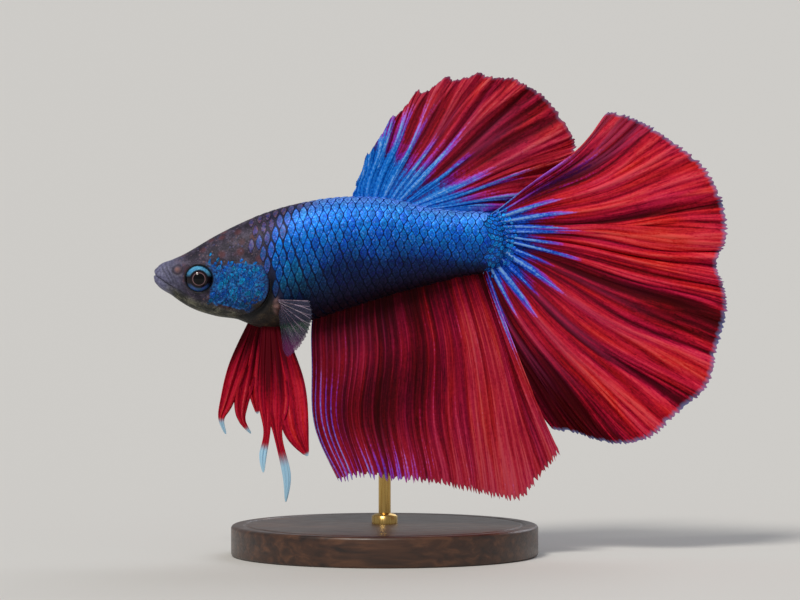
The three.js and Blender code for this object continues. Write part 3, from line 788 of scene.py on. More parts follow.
def finMembrane(name, red, streaks, fringe, blue=blueSheen, onRays=0.3, lineLight=0.26):
    # Fin skin cast in tinted resin: thin, satin, faintly see-through, its fine raised rays catching light.
    material, add = newMaterial(name)
    place = add("TexCoord").outputs["Object"]
    fan = add("UVMap", uv_map="finMap")
    ray, fold, bluish, shade, edge, mauve = (add("Attribute", attribute_name=name).outputs["Fac"]
                                             for name in ("ray", "fold", "blue", "shade", "edge", "mauve"))
    across, along = streaks  # how many fibres fit across the fin and along a ray
    fibres = []
    for scale, start, detail, rough, bent in (
            ((across, along, 1), (0, 0, 0), 3, 0.65, 0),
            ((30, 2.2, 1), (0, 0, 0), 2, 0.5, 0),
            ((across / 3, along, 1), (0, 0, 0), 4, 0.6, 0.25),
            ((across / 2, 2.6 * along, 1), (7, 3, 0), 2, 0.5, 0)):
        laid = add("Mapping", {"Vector": fan, "Scale": scale, "Location": start})
        fibres.append(add("TexNoise", {"Vector": laid, "Scale": 1, "Detail": detail, "Roughness": rough,
                                       "Distortion": bent}))
    streak, band, strand, wrinkle = fibres
    # painted shade in thin dark lines that wander over the membrane like wrinkles
    fromWrinkle = add("Math", {0: wrinkle, 1: 0.5}, operation="SUBTRACT")
    nearWrinkle = add("Math", {0: fromWrinkle}, operation="ABSOLUTE")
    creaseShade = add("MapRange", {0: nearWrinkle, 1: 0.03, 2: 0.0, 3: 0.0, 4: 0.18})
    fleck = add("TexNoise", {"Vector": place, "Scale": 3400, "Detail": 1})  # 0.3 mm specks
    # painted light and shade: lighter on the ray and fold crests, darker in the fold valleys, along those
    # thin lines and where the shade attribute says, over fibre streaks of the membrane's own
    light = -0.46
    for value, share in ((ray, lineLight), (fold, 0.52), (streak, 0.5), (strand, 0.6), (fleck, 0.25),
                         (creaseShade, -1), (shade, -1)):
        light = add("Math", {0: value, 1: share, 2: light}, operation="MULTIPLY_ADD")
    torn = -0.25  # where the blue ends, in torn strands
    for value, share in ((bluish, 1), (strand, 1.1), (fleck, 0.5), (ray, onRays)):
        torn = add("Math", {0: value, 1: share, 2: torn}, operation="MULTIPLY_ADD")
    blueLight = -0.6
    for value, share in ((light, 1), (streak, 0.7), (fleck, 0.5)):
        blueLight = add("Math", {0: value, 1: share, 2: blueLight}, operation="MULTIPLY_ADD")
    redTurn = add("MapRange", {0: band, 1: 0.35, 2: 0.65, 3: 0.486, 4: 0.5})
    violetTurn = add("MapRange", {0: torn, 1: 0.6, 2: 1.2, 3: 0.56, 4: 0.46})
    redColour, violetColour = (
        add("HueSaturation", {"Hue": turn, "Color": add("ValToRGB", {"Fac": light}, stops)})
        for turn, stops in ((redTurn, red), (violetTurn, violetSheen)))
    violetShare, blueShare = (add("MapRange", {0: torn, 1: low, 2: high}, interpolation_type="SMOOTHSTEP")
                              for low, high in ((0.5, 0.95), (0.95, 1.4)))
    line = add("Math", {0: ray, 1: 0.15}, operation="ADD")
    mauveLine = add("Math", {0: line, 1: mauve}, operation="MULTIPLY")
    blueColour = add("ValToRGB", {"Fac": blueLight}, blue)
    colour = redColour
    for share, over in ((mauveLine, "#a43a68"), (violetShare, violetColour), (blueShare, blueColour),
                        (edge, fringe)):
        colour = add("Mix", {0: share, 6: colour, 7: over}, data_type="RGBA")
    height = add("Math", {0: streak, 1: ray}, operation="ADD")
    relief = add("Bump", {"Strength": 0.6, "Distance": 0.06 * mm, "Height": height})
    surface = add("BsdfPrincipled", {"Base Color": colour, "Roughness": 0.55, "Specular IOR Level": 0.06,
                                     "Normal": relief})
    through = add("BsdfTranslucent", {"Color": colour, "Normal": relief})
    add("OutputMaterial", {"Surface": add("MixShader", {0: 0.25, 1: surface, 2: through})})
    return material


# A fin's paint gives, for each point, how blue it is (1 or more for full blue), how far the fringe's colour
# covers it, how mauve its ray lines are, and how much painted shade darkens it, a negative one being a
# painted highlight. u runs from the front ray to the last, v from the root to the tip, and reach is the
# distance from the root in mm.

def paintCaudal(u, v, reach, crest, fold):
    ridge = np.clip(0.8 * crest ** 0.6 + 0.3 * fold, -0.3, 1)
    blueTo = profile(caudalFin["blueTo"], u) * (0.65 + 0.4 * np.clip(ridge, 0, 1))
    main = (1.0 + 0.28 * ridge - 0.9 * smoothStep(reach, 0.38 * blueTo, 0.95 * blueTo)
            - 1.2 * smoothStep(reach, 0.9 * blueTo, 1.4 * blueTo)
            - 0.4 * bump(u - 0.1, 0.05) - smoothStep(u, 0.84, 0.9) * (0.85 - 0.65 * crest))
    top = 0.07 - 0.5 * smoothStep(v, 0.45, 0.9) - 1.5 * smoothStep(u, 0.1, 0.15)
    # painted highlight on the rays near the root and on the broad fold near u 0.38; painted shade between the
    # rays near the root, on the lowest rays, in the fold valleys, and on the top rays near the root, which
    # are lightened further out
    shade = -(0.14 + 0.16 * crest) * smoothStep(reach, 7, 2)
    shade += (0.24 - 0.2 * crest) * smoothStep(v, 0.4, 0.08)
    shade += 0.47 * smoothStep(u, 0.79, 0.88) * smoothStep(v, 0.3, 0.7)  # the lowest rays lie in shadow
    shade -= 0.2 * bump(u - 0.38, 0.04) * smoothStep(v, 0.25, 0.45)
    shade += (0.05 + 0.12 * crest) * bump(u - 0.55, 0.035) * smoothStep(v, 0.2, 0.4)
    shade += smoothStep(u, 0.15, 0.05) * (0.12 * smoothStep(v, 0.05, 0.3) - 0.34 * smoothStep(v, 0.5, 0.85))
    shade += 0.2 * smoothStep(-fold, 0.0, 0.8) * smoothStep(v, 0.15, 0.4)
    shade += 0.22 * smoothStep(u, 0.84, 0.9) * smoothStep(reach, 14, 6) * (1 - crest)
    return {
        "blue": np.maximum(main, top),
        "edge": 0.72 * smoothStep(v, 0.982, 0.995),
        "mauve": 0.4 * smoothStep(v, 0.8, 0.4) * smoothStep(u, 0.45, 0.7)
            + 0.6 * smoothStep(u, 0.14, 0.07) * smoothStep(v, 0.35, 0.6),
        "shade": shade,
    }


caudalFin = {
    "roots": [(43.8, 8.0), (45.3, 4.7), (42.7, 1.0)],
    "tips": [(58.6, 21.2), (62.6, 20.4), (66.9, 17.7), (71.4, 14.2), (73.8, 9.4), (74.3, 5.2), (73.1, 1.5),
             (74.1, -1.3), (74.4, -4.8), (73.1, -9.8), (71.8, -14.5), (67.9, -18.1), (64.5, -21),
             (60.6, -21.8), (56.1, -21), (51.8, -19.9)],
    "folds": [  # where each fold runs, from the top edge down, and how far it stands out
        (0, 0.5), (0.03, 0.2), (0.075, -1), (0.12, 0.2), (0.16, 0.8), (0.2, 0.35), (0.235, 0.7),
        (0.265, -0.6), (0.3, 0.1), (0.335, 1), (0.37, -0.6), (0.395, 0.6), (0.415, -0.7), (0.44, 0.5),
        (0.475, -0.3), (0.5, 0.15), (0.55, -1), (0.6, -0.2), (0.635, 0.8), (0.66, 0.2), (0.685, 0.6),
        (0.715, -1), (0.75, 0.2), (0.77, 1), (0.81, 0.3), (0.85, 0.35), (0.89, -0.2), (0.93, -0.9),
        (0.97, -0.3), (1, 0.4),
    ],
    "blueTo": [  # how far the blue runs out along the rays, in mm
        (0, 5), (0.06, 4.2), (0.11, 5.2), (0.16, 9), (0.2, 7.5), (0.24, 10), (0.3, 7.5), (0.35, 9.5),
        (0.41, 7), (0.46, 8.5), (0.52, 9.5), (0.57, 7), (0.62, 8.5), (0.67, 9.5), (0.72, 7.5), (0.78, 8.5),
        (0.82, 6), (0.87, 7), (0.92, 9), (1, 12),
    ],
    "bow": [(0, -0.9), (1, 1.3)], "sway": [(0, 0.35), (1, 0.35)], "swayTurn": 7, "waver": 0.22,
    "lean": (-2, 1.6), "foldDepth": 0.9, "fineFolds": 31, "fineDepth": 0.14, "rays": 14, "closer": 0,
    "forks": (0.12, 0.38, 0.66), "forkFrom": (-1, 0), "rayWidth": (0.22, 0.035), "rayHeight": 0.18,
    "ragged": 0.38, "notch": (0.0, 0.0, 1.0), "thickness": 0.12, "columns": 520, "rows": 90,
    "paint": paintCaudal,
}
makeFin("caudalFin", "caudal_fin", caudalFin, finMembrane(
    "redTailMembrane", [(0.0, "#4a0507"), (0.2, "#66070b"), (0.38, "#920c14"), (0.54, "#c2161e"),
                        (0.74, "#e62c2c"), (0.95, "#f85a52")], streaks=(240, 2.4), fringe="#7f93cc"))


tailScales = {
    "size": 0.66, "pitch": (0.68, 0.4), "columns": 11, "from": 43.0, "reach": (-2.6, 3.2), "rise": 0.35,
    "pointed": 1.7, "patch": 0.5,
}


def onTailRoot(reach, along, rise):  # along starts from 1 at the top, and from -1 on the fish's left side
    roots = np.array(caudalFin["roots"])
    rootLine = np.linalg.norm(np.diff(roots, axis=0), axis=1).sum()
    side, u = np.sign(along), np.clip((np.abs(along) - 1) / rootLine, 0, 1)
    length = np.linalg.norm(splinePoint(caudalFin["tips"], u) - splinePoint(roots, u), axis=1)
    point = finPoints(caudalFin, u, np.clip(reach, 0.02, None) / length)[0]
    point[:, 0] += np.minimum(reach, 0)
    x, z = np.clip(point[:, 0], 0, bodyLength), point[:, 2]
    flank = np.abs(bodyPoint(x, bodyT(x, z))[:, 1]) * (point[:, 0] < bodyLength) - body["coatDepth"]
    outside = np.maximum(side * point[:, 1] + caudalFin["thickness"] / 2, flank)
    point[:, 1] = side * (outside + rise * tailScales["rise"])
    return point


def makeTailScales():
    places = []
    start, end = tailScales["reach"]
    pitches = np.linspace(*tailScales["pitch"], tailScales["columns"])
    for column, reach in enumerate(start + np.cumsum(pitches) - pitches[0]):
        spread = 1 + 0.34 * max(reach, 0)  # the rays stand further apart here than at the root
        grow = np.interp(reach, [start, 0.5], [1.35, 1])
        for along in np.arange(0.25 + (column % 2) * 0.35 * grow, 7.6, 0.7 * grow / spread):
            if chance.random() > smoothStep(reach, 0.7, end - 0.4):
                places += [(reach, along + 1, spread / grow), (reach, -along - 1, spread / grow)]
    reach, along, spread = np.array(places).T
    keep = onTailRoot(reach, along, 0 * reach)[:, 0] > tailScales["from"]
    reach, along, spread = reach[keep], along[keep], spread[keep]
    size = tailScales["size"] * np.stack([1 - 0.14 * reach, (1 - 0.04 * reach) / spread], 1)
    looks = {"hue": chance.uniform(0.48, 0.505, len(reach)), "shine": chance.uniform(1.0, 1.5, len(reach)),
             "flank": 0.16 + 0.03 * np.abs(along), "dull": 0 * reach}
    makeCoat("tailScales", onTailRoot, np.stack([reach, along], 1), size, tailScales["pointed"],
             tailScales["patch"], looks)


makeTailScales()


def paintDorsal(u, v, reach, crest, fold):
    rear = smoothStep(u, 0.2, 0.5)
    blueTo = profile(dorsalFin["blueTo"], u)
    ridge = np.clip(0.75 * crest ** 0.6 + 0.3 * fold, -0.3, 1) * (0.2 + 0.35 * rear)
    main = (1.05 + ridge - 0.26 * rear - 0.85 * smoothStep(reach, (0.5 - 0.15 * rear) * blueTo, 0.85 * blueTo)
            - smoothStep(reach, (0.88 - 0.08 * rear) * blueTo, 1.5 * blueTo))
    lines = 0.16 * crest - 0.14 - 0.8 * smoothStep(u, 0.3, 0.55) - 0.5 * smoothStep(v, 0.72, 0.95)
    # painted shade in the middle of the rear, in the fold valleys and on the ray crests near the root in
    # front; a painted highlight on the crests further out
    shade = 0.1 * bump(u - 0.6, 0.15) * smoothStep(v, 0.3, 0.7)
    shade -= 0.1 * (crest - 0.3) * smoothStep(v, 0.3, 0.9)
    shade += 0.22 * (crest - 0.1) * (1 - rear) * smoothStep(reach, 11, 6)
    shade += 0.1 * smoothStep(-fold, 0.25, 0.9) * smoothStep(v, 0.2, 0.5)
    return {
        "blue": np.maximum(main, lines),
        "edge": 0.7 * smoothStep(v, 0.978, 1.0),
        "mauve": 0.5 * smoothStep(v, 0.95, 0.5) * bump(u - 0.5, 0.3) + 0.3 * bump(u - 0.3, 0.12),
        "shade": shade,
    }


dorsalFin = {
    "roots": [(26.2, 9.5), (31, 9.2), (35.4, 8.5)],
    "tips": [(26.3, 12.2), (27.6, 15.7), (30.9, 20.7), (34.4, 24.05), (38.2, 25.9), (42.5, 26.3),
             (47, 25.5), (50.9, 23), (54.5, 17.8), (54.3, 14.7), (52.0, 10.5), (46.2, 7.7)],
    "folds": [
        (0, 0.1), (0.09, 0.2), (0.14, -0.1), (0.18, 0.4), (0.23, -0.4), (0.27, 0.4), (0.3, -0.4),
        (0.36, 0.6), (0.4, -0.6), (0.43, 0.6), (0.47, -0.4), (0.5, 0.9), (0.53, -0.3), (0.56, 0.9),
        (0.6, -0.9), (0.66, -0.6), (0.71, 0.7), (0.75, -0.3), (0.79, 0.8), (0.83, -0.7), (0.88, 0.7),
        (0.92, -0.6), (0.96, 0.6), (1, 0),
    ],
    "blueTo": [
        (0, 14), (0.12, 12), (0.18, 12), (0.22, 10), (0.26, 11), (0.32, 9.5), (0.38, 11), (0.44, 8.8),
        (0.52, 11.5), (0.6, 8.5), (0.67, 11.5), (0.74, 9.5), (0.81, 13), (0.87, 11), (0.94, 14), (1, 12),
    ],
    "bow": [(0, 0.2), (1, 0.1)], "sway": [(0, 0.2), (1, 0.2)], "swayTurn": 5, "waver": 0.12, "lean": (0, 3.2),
    "foldDepth": 0.62, "fineFolds": 23, "fineDepth": 0.11, "rays": 11, "closer": 0,
    "forks": (0.15, 0.42, 0.7), "forkFrom": (-1, 0), "rayWidth": (0.17, 0.045), "rayHeight": 0.11,
    "ragged": 0.3, "notch": (1.1, 0.3, 0.7), "thickness": 0.12, "columns": 400, "rows": 90,
    "paint": paintDorsal,
}
makeFin("dorsalFin", "dorsal_fin", dorsalFin, finMembrane(
    "redDorsalMembrane", [(0.0, "#4a0608"), (0.2, "#64080d"), (0.38, "#8a0e18"), (0.56, "#b41a22"),
                          (0.76, "#da3032"), (0.95, "#f06460")], streaks=(150, 2.2), fringe="#8a6f98",
    blue=[(0.1, "#0842a0"), (0.33, "#0a62c6"), (0.52, "#1480e6"), (0.72, "#3e9af6"), (1.0, "#98caff")]))


def paintAnal(u, v, reach, crest, fold):
    front = smoothStep(u, 0.3, 0.14) * smoothStep(v, 0.2, 0.6)
    hem = smoothStep(u, 0.66, 0.4) * smoothStep(v, 0.72, 1.0)
    last = bump(u - 0.985, 0.018) * smoothStep(v, 0.02, 0.08) * smoothStep(v, 0.55, 0.3)
    # the pocket is where the fin bends away: painted shade there, with the ray lines and mauve fading in it
    pocket = bump(v - 0.6, 0.19) * bump(u - 0.37, 0.2) + 0.7 * bump(v - 0.42, 0.22) * bump(u - 0.55, 0.16)
    mauve = 0.3 * smoothStep(u, 0.6, 0.3) + 0.2 * smoothStep(v, 0.6, 0.9)
    # painted shade near the root under the body and in the pocket, with less of it towards the rear and the
    # lower edge
    shade = (0.4 + 0.12 * crest) * smoothStep(reach, 8, 0.5) + (0.2 + 0.1 * crest) * pocket
    shade -= 0.18 * bump(u - 0.8, 0.15) + 0.08 * smoothStep(v, 0.7, 0.95)
    return {
        "blue": -0.85 + np.maximum(0.74 * np.maximum(front, 0.9 * hem), 1.3 * bump(u, 0.012)) + 1.25 * last,
        "edge": 0.4 * smoothStep(v, 0.98, 1.0),
        "mauve": mauve * smoothStep(reach, 0.5, 6) * (1 - 0.8 * np.clip(pocket, 0, 1)),
        "shade": shade,
    }


analFin = {
    "roots": [(20.7, -5), (27, -3), (36, -0.4), (43, 1.1)],
    "tips": [(23.9, -26.6), (24.6, -26.5), (25.3, -26.3), (26.2, -26.1), (27.3, -25.95), (28.6, -26.0),
             (30.2, -26.2), (32.3, -26.4), (34.7, -26.5), (37.2, -26.9), (39.8, -27.4), (42.2, -27.9),
             (44.6, -28.5), (47.8, -28.6), (50.6, -25.2), (52.7, -22.8)],
    "folds": [
        (0, 0.2), (0.1, 0.4), (0.2, 0), (0.3, 0.2), (0.38, -0.35), (0.45, -0.3), (0.52, 0.1), (0.58, -0.3),
        (0.66, 0.2), (0.72, -0.2), (0.8, 0.6), (0.86, 0.1), (0.9, 0.8), (0.94, -0.6), (0.97, 0.5), (1, 0.7),
    ],
    "bow": [(0, 1.8), (0.3, 1.2), (0.55, 0.1), (0.83, -0.7), (1, 0.3)],
    "sway": [(0, -0.5), (0.3, -0.8), (0.55, -0.8), (0.83, -0.2), (1, 0)], "swayTurn": 0, "waver": 0.12,
    "lean": (-0.4, -2.4), "foldDepth": 0.55, "fineFolds": 9, "fineDepth": 0.1, "rays": 36, "closer": 0.4,
    "forks": (0.5, 0.8), "forkFrom": (0.25, 0.55), "rayWidth": (0.16, 0.08), "rayHeight": 0.13, "ragged": 0.8,
    "notch": (0.0, 0.0, 1.0), "thickness": 0.12, "columns": 460, "rows": 90, "paint": paintAnal,
}
makeFin("analFin", "anal_fin", analFin, finMembrane(
    "crimsonAnalMembrane", [(0.0, "#340507"), (0.22, "#50070e"), (0.42, "#7e0b17"), (0.6, "#a81620"),
                            (0.8, "#cc2e34"), (1.0, "#de5450")], streaks=(230, 1.6), fringe="#9a4a5c",
    blue=[(0.1, "#1c1258"), (0.35, "#3c30a8"), (0.55, "#5c58dc"), (0.75, "#8286f4"), (0.95, "#b4bcff")],
    onRays=0.75, lineLight=0.23))


# pelvic fins: a few long soft rays side by side, webbed at the root, each drawn out to a pale thread

pelvicFins = {
    "left": [  # for each blade, places along it with its half width there
        [(14.7, -5.2, 0.5), (14.5, -14.8, 1.0), (14.75, -20.2, 0.42), (14.25, -23.4, 0.44),
         (14.3, -25.6, 0.1)],
        [(15.2, -5.2, 0.6), (15.9, -15.4, 1.7), (16.15, -20.6, 0.54), (17.3, -25.9, 0.5), (17.2, -29.4, 0.1)],
        [(15.7, -5.2, 0.6), (17.6, -13.6, 1.9), (18.5, -19.8, 1.7), (20.0, -23.4, 0.25)],
    ],
    "right": [
        [(13.3, -5.2, 0.5), (11.0, -11.8, 1.2), (9.4, -16.8, 0.85), (8.7, -19.0, 0.36), (9.25, -21.0, 0.1)],
        [(13.7, -5.2, 0.6), (11.9, -13.2, 1.3), (11.25, -17.3, 0.85), (11.4, -19.3, 0.42),
         (12.5, -21.0, 0.08)],
        [(14.1, -5.2, 0.6), (13.2, -13.6, 1.1), (13.4, -18.4, 0.2)],
    ],
    "leftThreads": [(0.6, 0.7), (0.6, 0.7), (0.93, 0.99)],  # where each blade pales
    "rightThreads": [(0.72, 0.82), (0.84, 0.93), (0.93, 0.99)],
    "root": (1.1, -5.6), "splay": 9, "thickness": 0.14, "columns": 26, "rows": 90, "pleat": 0.16,
    "pleats": 2.2, "rays": 4, "apart": 0.28, "roundTip": 0.06,
}


def makePelvic(name, node, which, side, material):
    fin = pelvicFins
    rootY, rootZ = fin["root"]
    turn = math.radians(fin["splay"]) * side
    blades = []
    for number, (ray, thread) in enumerate(zip(fin[which], fin[which + "Threads"])):
        blade, u, v = newGrid(name, fin["columns"], fin["rows"])
        middle, ahead, behind = (splinePoint(ray, np.clip(v + step, 0, 1)) for step in (0, 0.01, -0.01))
        along = (ahead - behind)[:, :2]
        along /= np.linalg.norm(along, axis=1)[:, None]
        half = middle[:, 2] * (0.15 + 0.85 * np.sqrt(np.clip((1 - v) / fin["roundTip"], 0, 1)))
        across = (2 * u - 1) * half
        fold = np.sin(2 * np.pi * (fin["pleats"] * u + 0.3 * number))
        y = fin["pleat"] * fold * np.clip(half, 0, 1) + fin["apart"] * (number - 1) * v
        drop = middle[:, 1] + along[:, 0] * across - rootZ
        points = np.stack([middle[:, 0] - along[:, 1] * across,
                           side * rootY + y * math.cos(turn) - drop * math.sin(turn),
                           rootZ + drop * math.cos(turn) + y * math.sin(turn)], 1)
        setPoints(blade, toFrame(points))
        # painted shade near each blade's root under the body, with a faint painted highlight at mid length;
        # the pleats paint light and shade through the fold value
        setAttributes(blade, ray=bump(np.abs((u * fin["rays"]) % 1 - 0.5), 0.16), fold=-0.6 * fold * side,
                      blue=0 * v - 0.9, edge=0.95 * smoothStep(v, *thread),
                      shade=0.8 * smoothStep(v, 0.36, 0.0) - 0.06 * bump(v - 0.6, 0.3))
        applyModifier(blade, "SOLIDIFY", thickness=fin["thickness"] * mm, offset=0)
        blades.append(blade)
    piece = joinPieces(blades, name)
    turnFolds(piece)
    finishPiece(piece, material, "red_fin_membrane", node)


pelvicMembrane = finMembrane(
    "redPelvicMembrane", [(0.1, "#5c060a"), (0.35, "#960c14"), (0.55, "#c0141a"), (0.8, "#dc2e2c"),
                          (0.95, "#ee6058")], streaks=(14, 3), fringe="#b8e6fc")
makePelvic("pelvicFinLeft", "pelvic_fin_left", "left", -1, pelvicMembrane)
makePelvic("pelvicFinRight", "pelvic_fin_right", "right", 1, pelvicMembrane)


# pectoral fins: clear membrane with fine opaque rays

pectoralFins = {
    "roots": [(16.2, -3.0), (16.5, -3.8), (16.3, -4.7)],
    "tips": [(20.4, -3.0), (20.8, -4.6), (20.5, -6.3), (19.8, -7.9), (18.8, -9.3), (17.5, -10.3),
             (16.9, -9.4)],
    "folds": [(0, 0.4), (0.25, -0.5), (0.5, 0.6), (0.75, -0.5), (1, 0.3)],
    "bow": [(0, 0), (1, 0)], "sway": [(0, 0), (1, 0)], "swayTurn": 0, "waver": 0, "lean": (0.5, 0.2),
    "foldDepth": 0.12, "fineFolds": 9, "fineDepth": 0.03, "rays": 10, "closer": 0, "forks": (0.5,),
    "forkFrom": (-1, 0), "rayWidth": (0.15, 0.06), "rayHeight": 0.02, "ragged": 0.25,
    "notch": (0.0, 0.0, 1.0), "splay": 14, "intoBody": 0.15, "columns": 120, "rows": 36, "thickness": 0.06,
    "rayRadius": 0.12, "rodSides": 6, "rodRings": 24,
}


def placePectoral(points, side):
    x0 = pectoralFins["roots"][0][0]
    halfWidth = smoothRow(np.array([x0]), sectionHalf)[0]
    turn = math.radians(pectoralFins["splay"])
    back = points[:, 0] - x0
    out = halfWidth - pectoralFins["intoBody"] + points[:, 1] + back * math.tan(turn)
    return np.stack([x0 + back * math.cos(turn), side * out, points[:, 2]], 1)


def makePectoral(name, node, side):
    fin = pectoralFins
    web, u, v = newGrid(name, fin["columns"], fin["rows"])
    setPoints(web, toFrame(placePectoral(finPoints(fin, u, v)[0], side)))
    applyModifier(web, "SOLIDIFY", thickness=fin["thickness"] * mm, offset=0)
    finishPiece(web, clearWeb(), "clear_fin_membrane", node)
    rods = [makeRod(name + "Ray", number / (fin["rays"] - 1), branch, side)
            for number in range(fin["rays"]) for branch in (-1, 1)]
    finishPiece(joinPieces(rods, name + "Rays"), rayHorn(), "clear_fin_membrane")


def makeRod(name, centre, branch, side):  # a tapering rod along one branch of a ray
    fin = pectoralFins
    rod, around, v = newGrid(name, fin["rodSides"], fin["rodRings"])
    drift = branch * 0.25 / fin["rays"] * smoothStep(v, fin["forks"][0], 1.15)
    points = placePectoral(finPoints(fin, np.clip(centre + drift, 0, 1), v * 0.985)[0], side)
    radius = fin["rayRadius"] * (1 - 0.65 * v)
    points[:, 1] += radius * np.cos(2 * np.pi * around)
    points[:, 2] += radius * np.sin(2 * np.pi * around)
    setPoints(rod, toFrame(points))
    weld(rod)
    bpy.ops.object.mode_set(mode="EDIT")
    bpy.ops.mesh.select_all(action="DESELECT")
    bpy.ops.mesh.select_non_manifold()
    bpy.ops.mesh.fill_holes(sides=8)
    bpy.ops.object.mode_set(mode="OBJECT")
    return rod


@cache
def clearWeb():
    # Bare fin membrane: clear as film, with a faint green and violet play of colour.
    material, add = newMaterial("clearFinFilm")
    place = add("TexCoord").outputs["Object"]
    play = add("TexNoise", {"Vector": place, "Scale": 500, "Detail": 2})  # 2 mm patches
    height = add("SeparateXYZ", {0: place}).outputs["Z"]
    top, bottom = (toFrame([0, 0, pectoralFins["tips"][end][1]])[2] for end in (0, -2))
    down = add("MapRange", {0: height, 1: top, 2: bottom, 3: -0.2, 4: 0.8})
    patch = add("Math", {0: play, 1: 0.4, 2: down}, operation="MULTIPLY_ADD")
    colour = add("ValToRGB", {"Fac": patch}, [(0.1, "#3c3c54"), (0.35, "#26283c"), (0.5, "#1c3830"),
                                              (0.62, "#2c2440"), (0.8, "#5c2258")])
    surface = add("BsdfPrincipled", {"Base Color": colour, "Roughness": 0.35, "IOR": 1.36, "Alpha": 0.55})
    add("OutputMaterial", {"Surface": surface})
    return material


@cache
def rayHorn():
    # Horny fin rays, tinted pink-brown, with a silky gloss.
    material, add = newMaterial("pinkFinRay")
    place = add("TexCoord").outputs["Object"]
    joint = add("TexNoise", {"Vector": place, "Scale": 2500, "Detail": 2})  # 0.4 mm joints
    colour = add("ValToRGB", {"Fac": joint}, [(0.3, "#5a4a5c"), (0.7, "#94809a")])
    surface = add("BsdfPrincipled", {"Base Color": colour, "Roughness": 0.4, "IOR": 1.5})
    add("OutputMaterial", {"Surface": surface})
    return material


makePectoral("pectoralFinLeft", "pectoral_fin_left", -1)
makePectoral("pectoralFinRight", "pectoral_fin_right", 1)


# stand: turned wooden base and a slim brass rod with a collar

stand = {
    "baseSides": 160, "chamfer": 0.6, "groove": 1.6, "grooveEdge": 0.35, "grooveDepth": 0.25,
    "rodSides": 48, "rodRadius": 0.8, "intoBelly": 0.9, "collar": 1.0, "collarEdge": 0.35,
    "collarSteps": (0.25, 0.15),
}


def newCylinder(name, sides, radius, y, low, high):  # left in edit mode with its top face selected
    selectOnly()
    bpy.ops.mesh.primitive_cylinder_add(vertices=sides, radius=radius, depth=high - low,
                                        location=(0, y, (low + high) / 2))
    piece = bpy.context.object
    piece.name = name
    bpy.ops.object.transform_apply(location=True)
    bpy.ops.object.mode_set(mode="EDIT")
    bpy.ops.mesh.select_mode(type="FACE")
    bpy.ops.mesh.select_all(action="DESELECT")
    bpy.ops.object.mode_set(mode="OBJECT")
    for face in piece.data.polygons:
        face.select = face.normal.z > 0.9
    bpy.ops.object.mode_set(mode="EDIT")
    return piece


def insetSteps(*steps):  # insets the selected face and moves it up, again and again
    for inset, rise in steps:
        bpy.ops.mesh.inset(thickness=inset)
        bpy.ops.transform.translate(value=(0, 0, rise))


def makeBase():
    low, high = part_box("stand_base")
    base = newCylinder("standBase", stand["baseSides"], (high.x - low.x) / 2, 0, low.z, high.z)
    edge, depth = stand["grooveEdge"] * mm, stand["grooveDepth"] * mm
    insetSteps((stand["groove"] * mm, 0), (edge, -depth), (edge, depth))
    bpy.ops.object.mode_set(mode="OBJECT")
    applyModifier(base, "BEVEL", width=stand["chamfer"] * mm, segments=4, limit_method="ANGLE",
                  angle_limit=math.radians(60))
    finishPiece(base, turnedWood(), "stained_wood", "stand_base")


def turnedWood():
    # Dark-stained walnut, turned and waxed: fine straight grain and a soft sheen.
    material, add = newMaterial("waxedDarkWalnut")
    place = add("TexCoord").outputs["Object"]
    laid = add("Mapping", {"Vector": place, "Scale": (1.0, 9.0, 9.0), "Rotation": (0, 0, 0.3)})
    grain = add("TexNoise", {"Vector": laid, "Scale": 110, "Detail": 6, "Distortion": 0.6})  # 1 mm grain
    pores = add("TexNoise", {"Vector": laid, "Scale": 480, "Detail": 2})  # 0.2 mm pores
    colour = add("ValToRGB", {"Fac": grain}, [(0.3, "#24140d"), (0.5, "#3f2517"), (0.7, "#5c3a25")])
    rough = add("MapRange", {0: pores, 1: 0.3, 2: 0.7, 3: 0.32, 4: 0.5})
    relief = add("Bump", {"Strength": 0.3, "Distance": 0.05 * mm, "Height": pores})
    surface = add("BsdfPrincipled", {"Base Color": colour, "Roughness": rough, "Coat Weight": 0.2,
                                     "Coat Roughness": 0.3, "Normal": relief})
    add("OutputMaterial", {"Surface": surface})
    return material


def makeStandRod():
    low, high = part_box("stand_rod")
    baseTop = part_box("stand_base")[1].z
    collar, radius, edge = (high.x - low.x) / 2, stand["rodRadius"] * mm, stand["collarEdge"] * mm
    rod = newCylinder("standRod", stand["rodSides"], collar, (low.y + high.y) / 2, baseTop,
                      baseTop + stand["collar"] * mm)
    first, second = (step * mm for step in stand["collarSteps"])
    insetSteps((edge, first), (collar - edge - radius, second))
    length = high.z + stand["intoBelly"] * mm - baseTop - stand["collar"] * mm - first - second
    bpy.ops.mesh.extrude_region_move(TRANSFORM_OT_translate={"value": (0, 0, length)})
    bpy.ops.object.mode_set(mode="OBJECT")
    finishPiece(rod, brushedBrass(), "brass", "stand_rod")


def brushedBrass():
    # Drawn brass rod, lightly brushed along its length and lacquered.
    material, add = newMaterial("brushedBrass")
    place = add("TexCoord").outputs["Object"]
    drawn = add("Mapping", {"Vector": place, "Scale": (1, 1, 0.04)})
    lines = add("TexNoise", {"Vector": drawn, "Scale": 5000, "Detail": 2})  # lines 0.2 mm apart
    colour = add("ValToRGB", {"Fac": lines}, [(0.3, "#b08a48"), (0.7, "#d8b670")])
    rough = add("MapRange", {0: lines, 1: 0.3, 2: 0.7, 3: 0.22, 4: 0.36})
    surface = add("BsdfPrincipled", {"Base Color": colour, "Metallic": 1.0, "Roughness": rough})
    add("OutputMaterial", {"Surface": surface})
    return material


makeBase()
makeStandRod()


# floor, lights and camera

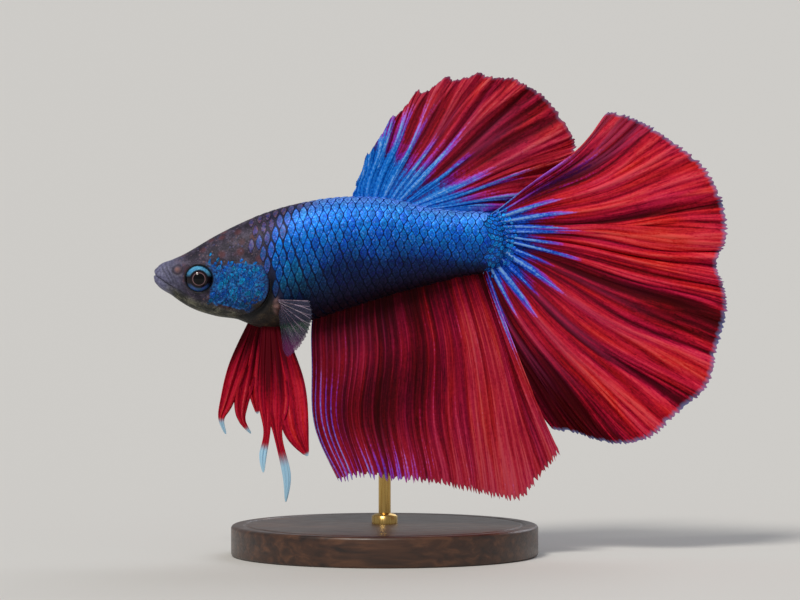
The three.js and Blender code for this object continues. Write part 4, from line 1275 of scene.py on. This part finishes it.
studio = {
    "floor": 60.0, "floorColour": "#d6d5d2",
    "lights": [  # name, where it stands, how wide it looks in degrees, strength, colour
        ("keyLight", (-0.35, -0.75, 1.0), 16, 1.95, "#fff9f0"),
        ("backLight", (0.5, 0.8, 0.7), 40, 0.7, "#f2f6ff"),
    ],
    "skyColour": "#e9ebee", "skyStrength": 0.4,
    "cameraDistance": 1.0, "cameraTilt": 3.0, "frameWidth": 0.104, "aimAt": (0.002, 0.0, 0.0333),
    "sensor": 36,
}


def makeStudio():
    selectOnly()
    bpy.ops.mesh.primitive_plane_add(size=studio["floor"], location=(0, 0, cadLow.z))
    floor = bpy.context.object
    floor.name = "floor"
    floor.data.materials.append(palePaper())
    aim = np.array(studio["aimAt"])
    for name, place, width, strength, colour in studio["lights"]:
        bpy.ops.object.light_add(type="SUN", location=place, rotation=lookAt(aim - np.array(place)))
        light = bpy.context.object
        light.name = name
        light.data.angle = math.radians(width)
        light.data.energy = strength
        light.data.color = linearColour(colour)[:3]
    world = bpy.data.worlds.new("studioSky")
    bpy.context.scene.world = world
    world.use_nodes = True
    sky = world.node_tree.nodes["Background"].inputs
    sky["Color"].default_value = linearColour(studio["skyColour"])
    sky["Strength"].default_value = studio["skyStrength"]
    tilt = math.radians(studio["cameraTilt"])
    back = np.array([0, -math.cos(tilt), math.sin(tilt)]) * studio["cameraDistance"]
    bpy.ops.object.camera_add(location=aim + back, rotation=lookAt(-back))
    camera = bpy.context.object
    camera.data.sensor_width = studio["sensor"]
    camera.data.lens = studio["sensor"] * studio["cameraDistance"] / studio["frameWidth"]
    camera.data.clip_end = 200
    bpy.context.scene.camera = camera
    bpy.context.scene.view_settings.view_transform = "Standard"
    print("studio made")


def palePaper():
    # A pale paper sweep: matt and even.
    material, add = newMaterial("palePaper")
    surface = add("BsdfPrincipled", {"Base Color": studio["floorColour"], "Roughness": 0.9})
    add("OutputMaterial", {"Surface": surface})
    return material


def lookAt(direction):
    return Vector(direction).to_track_quat("-Z", "Y").to_euler()


makeStudio()
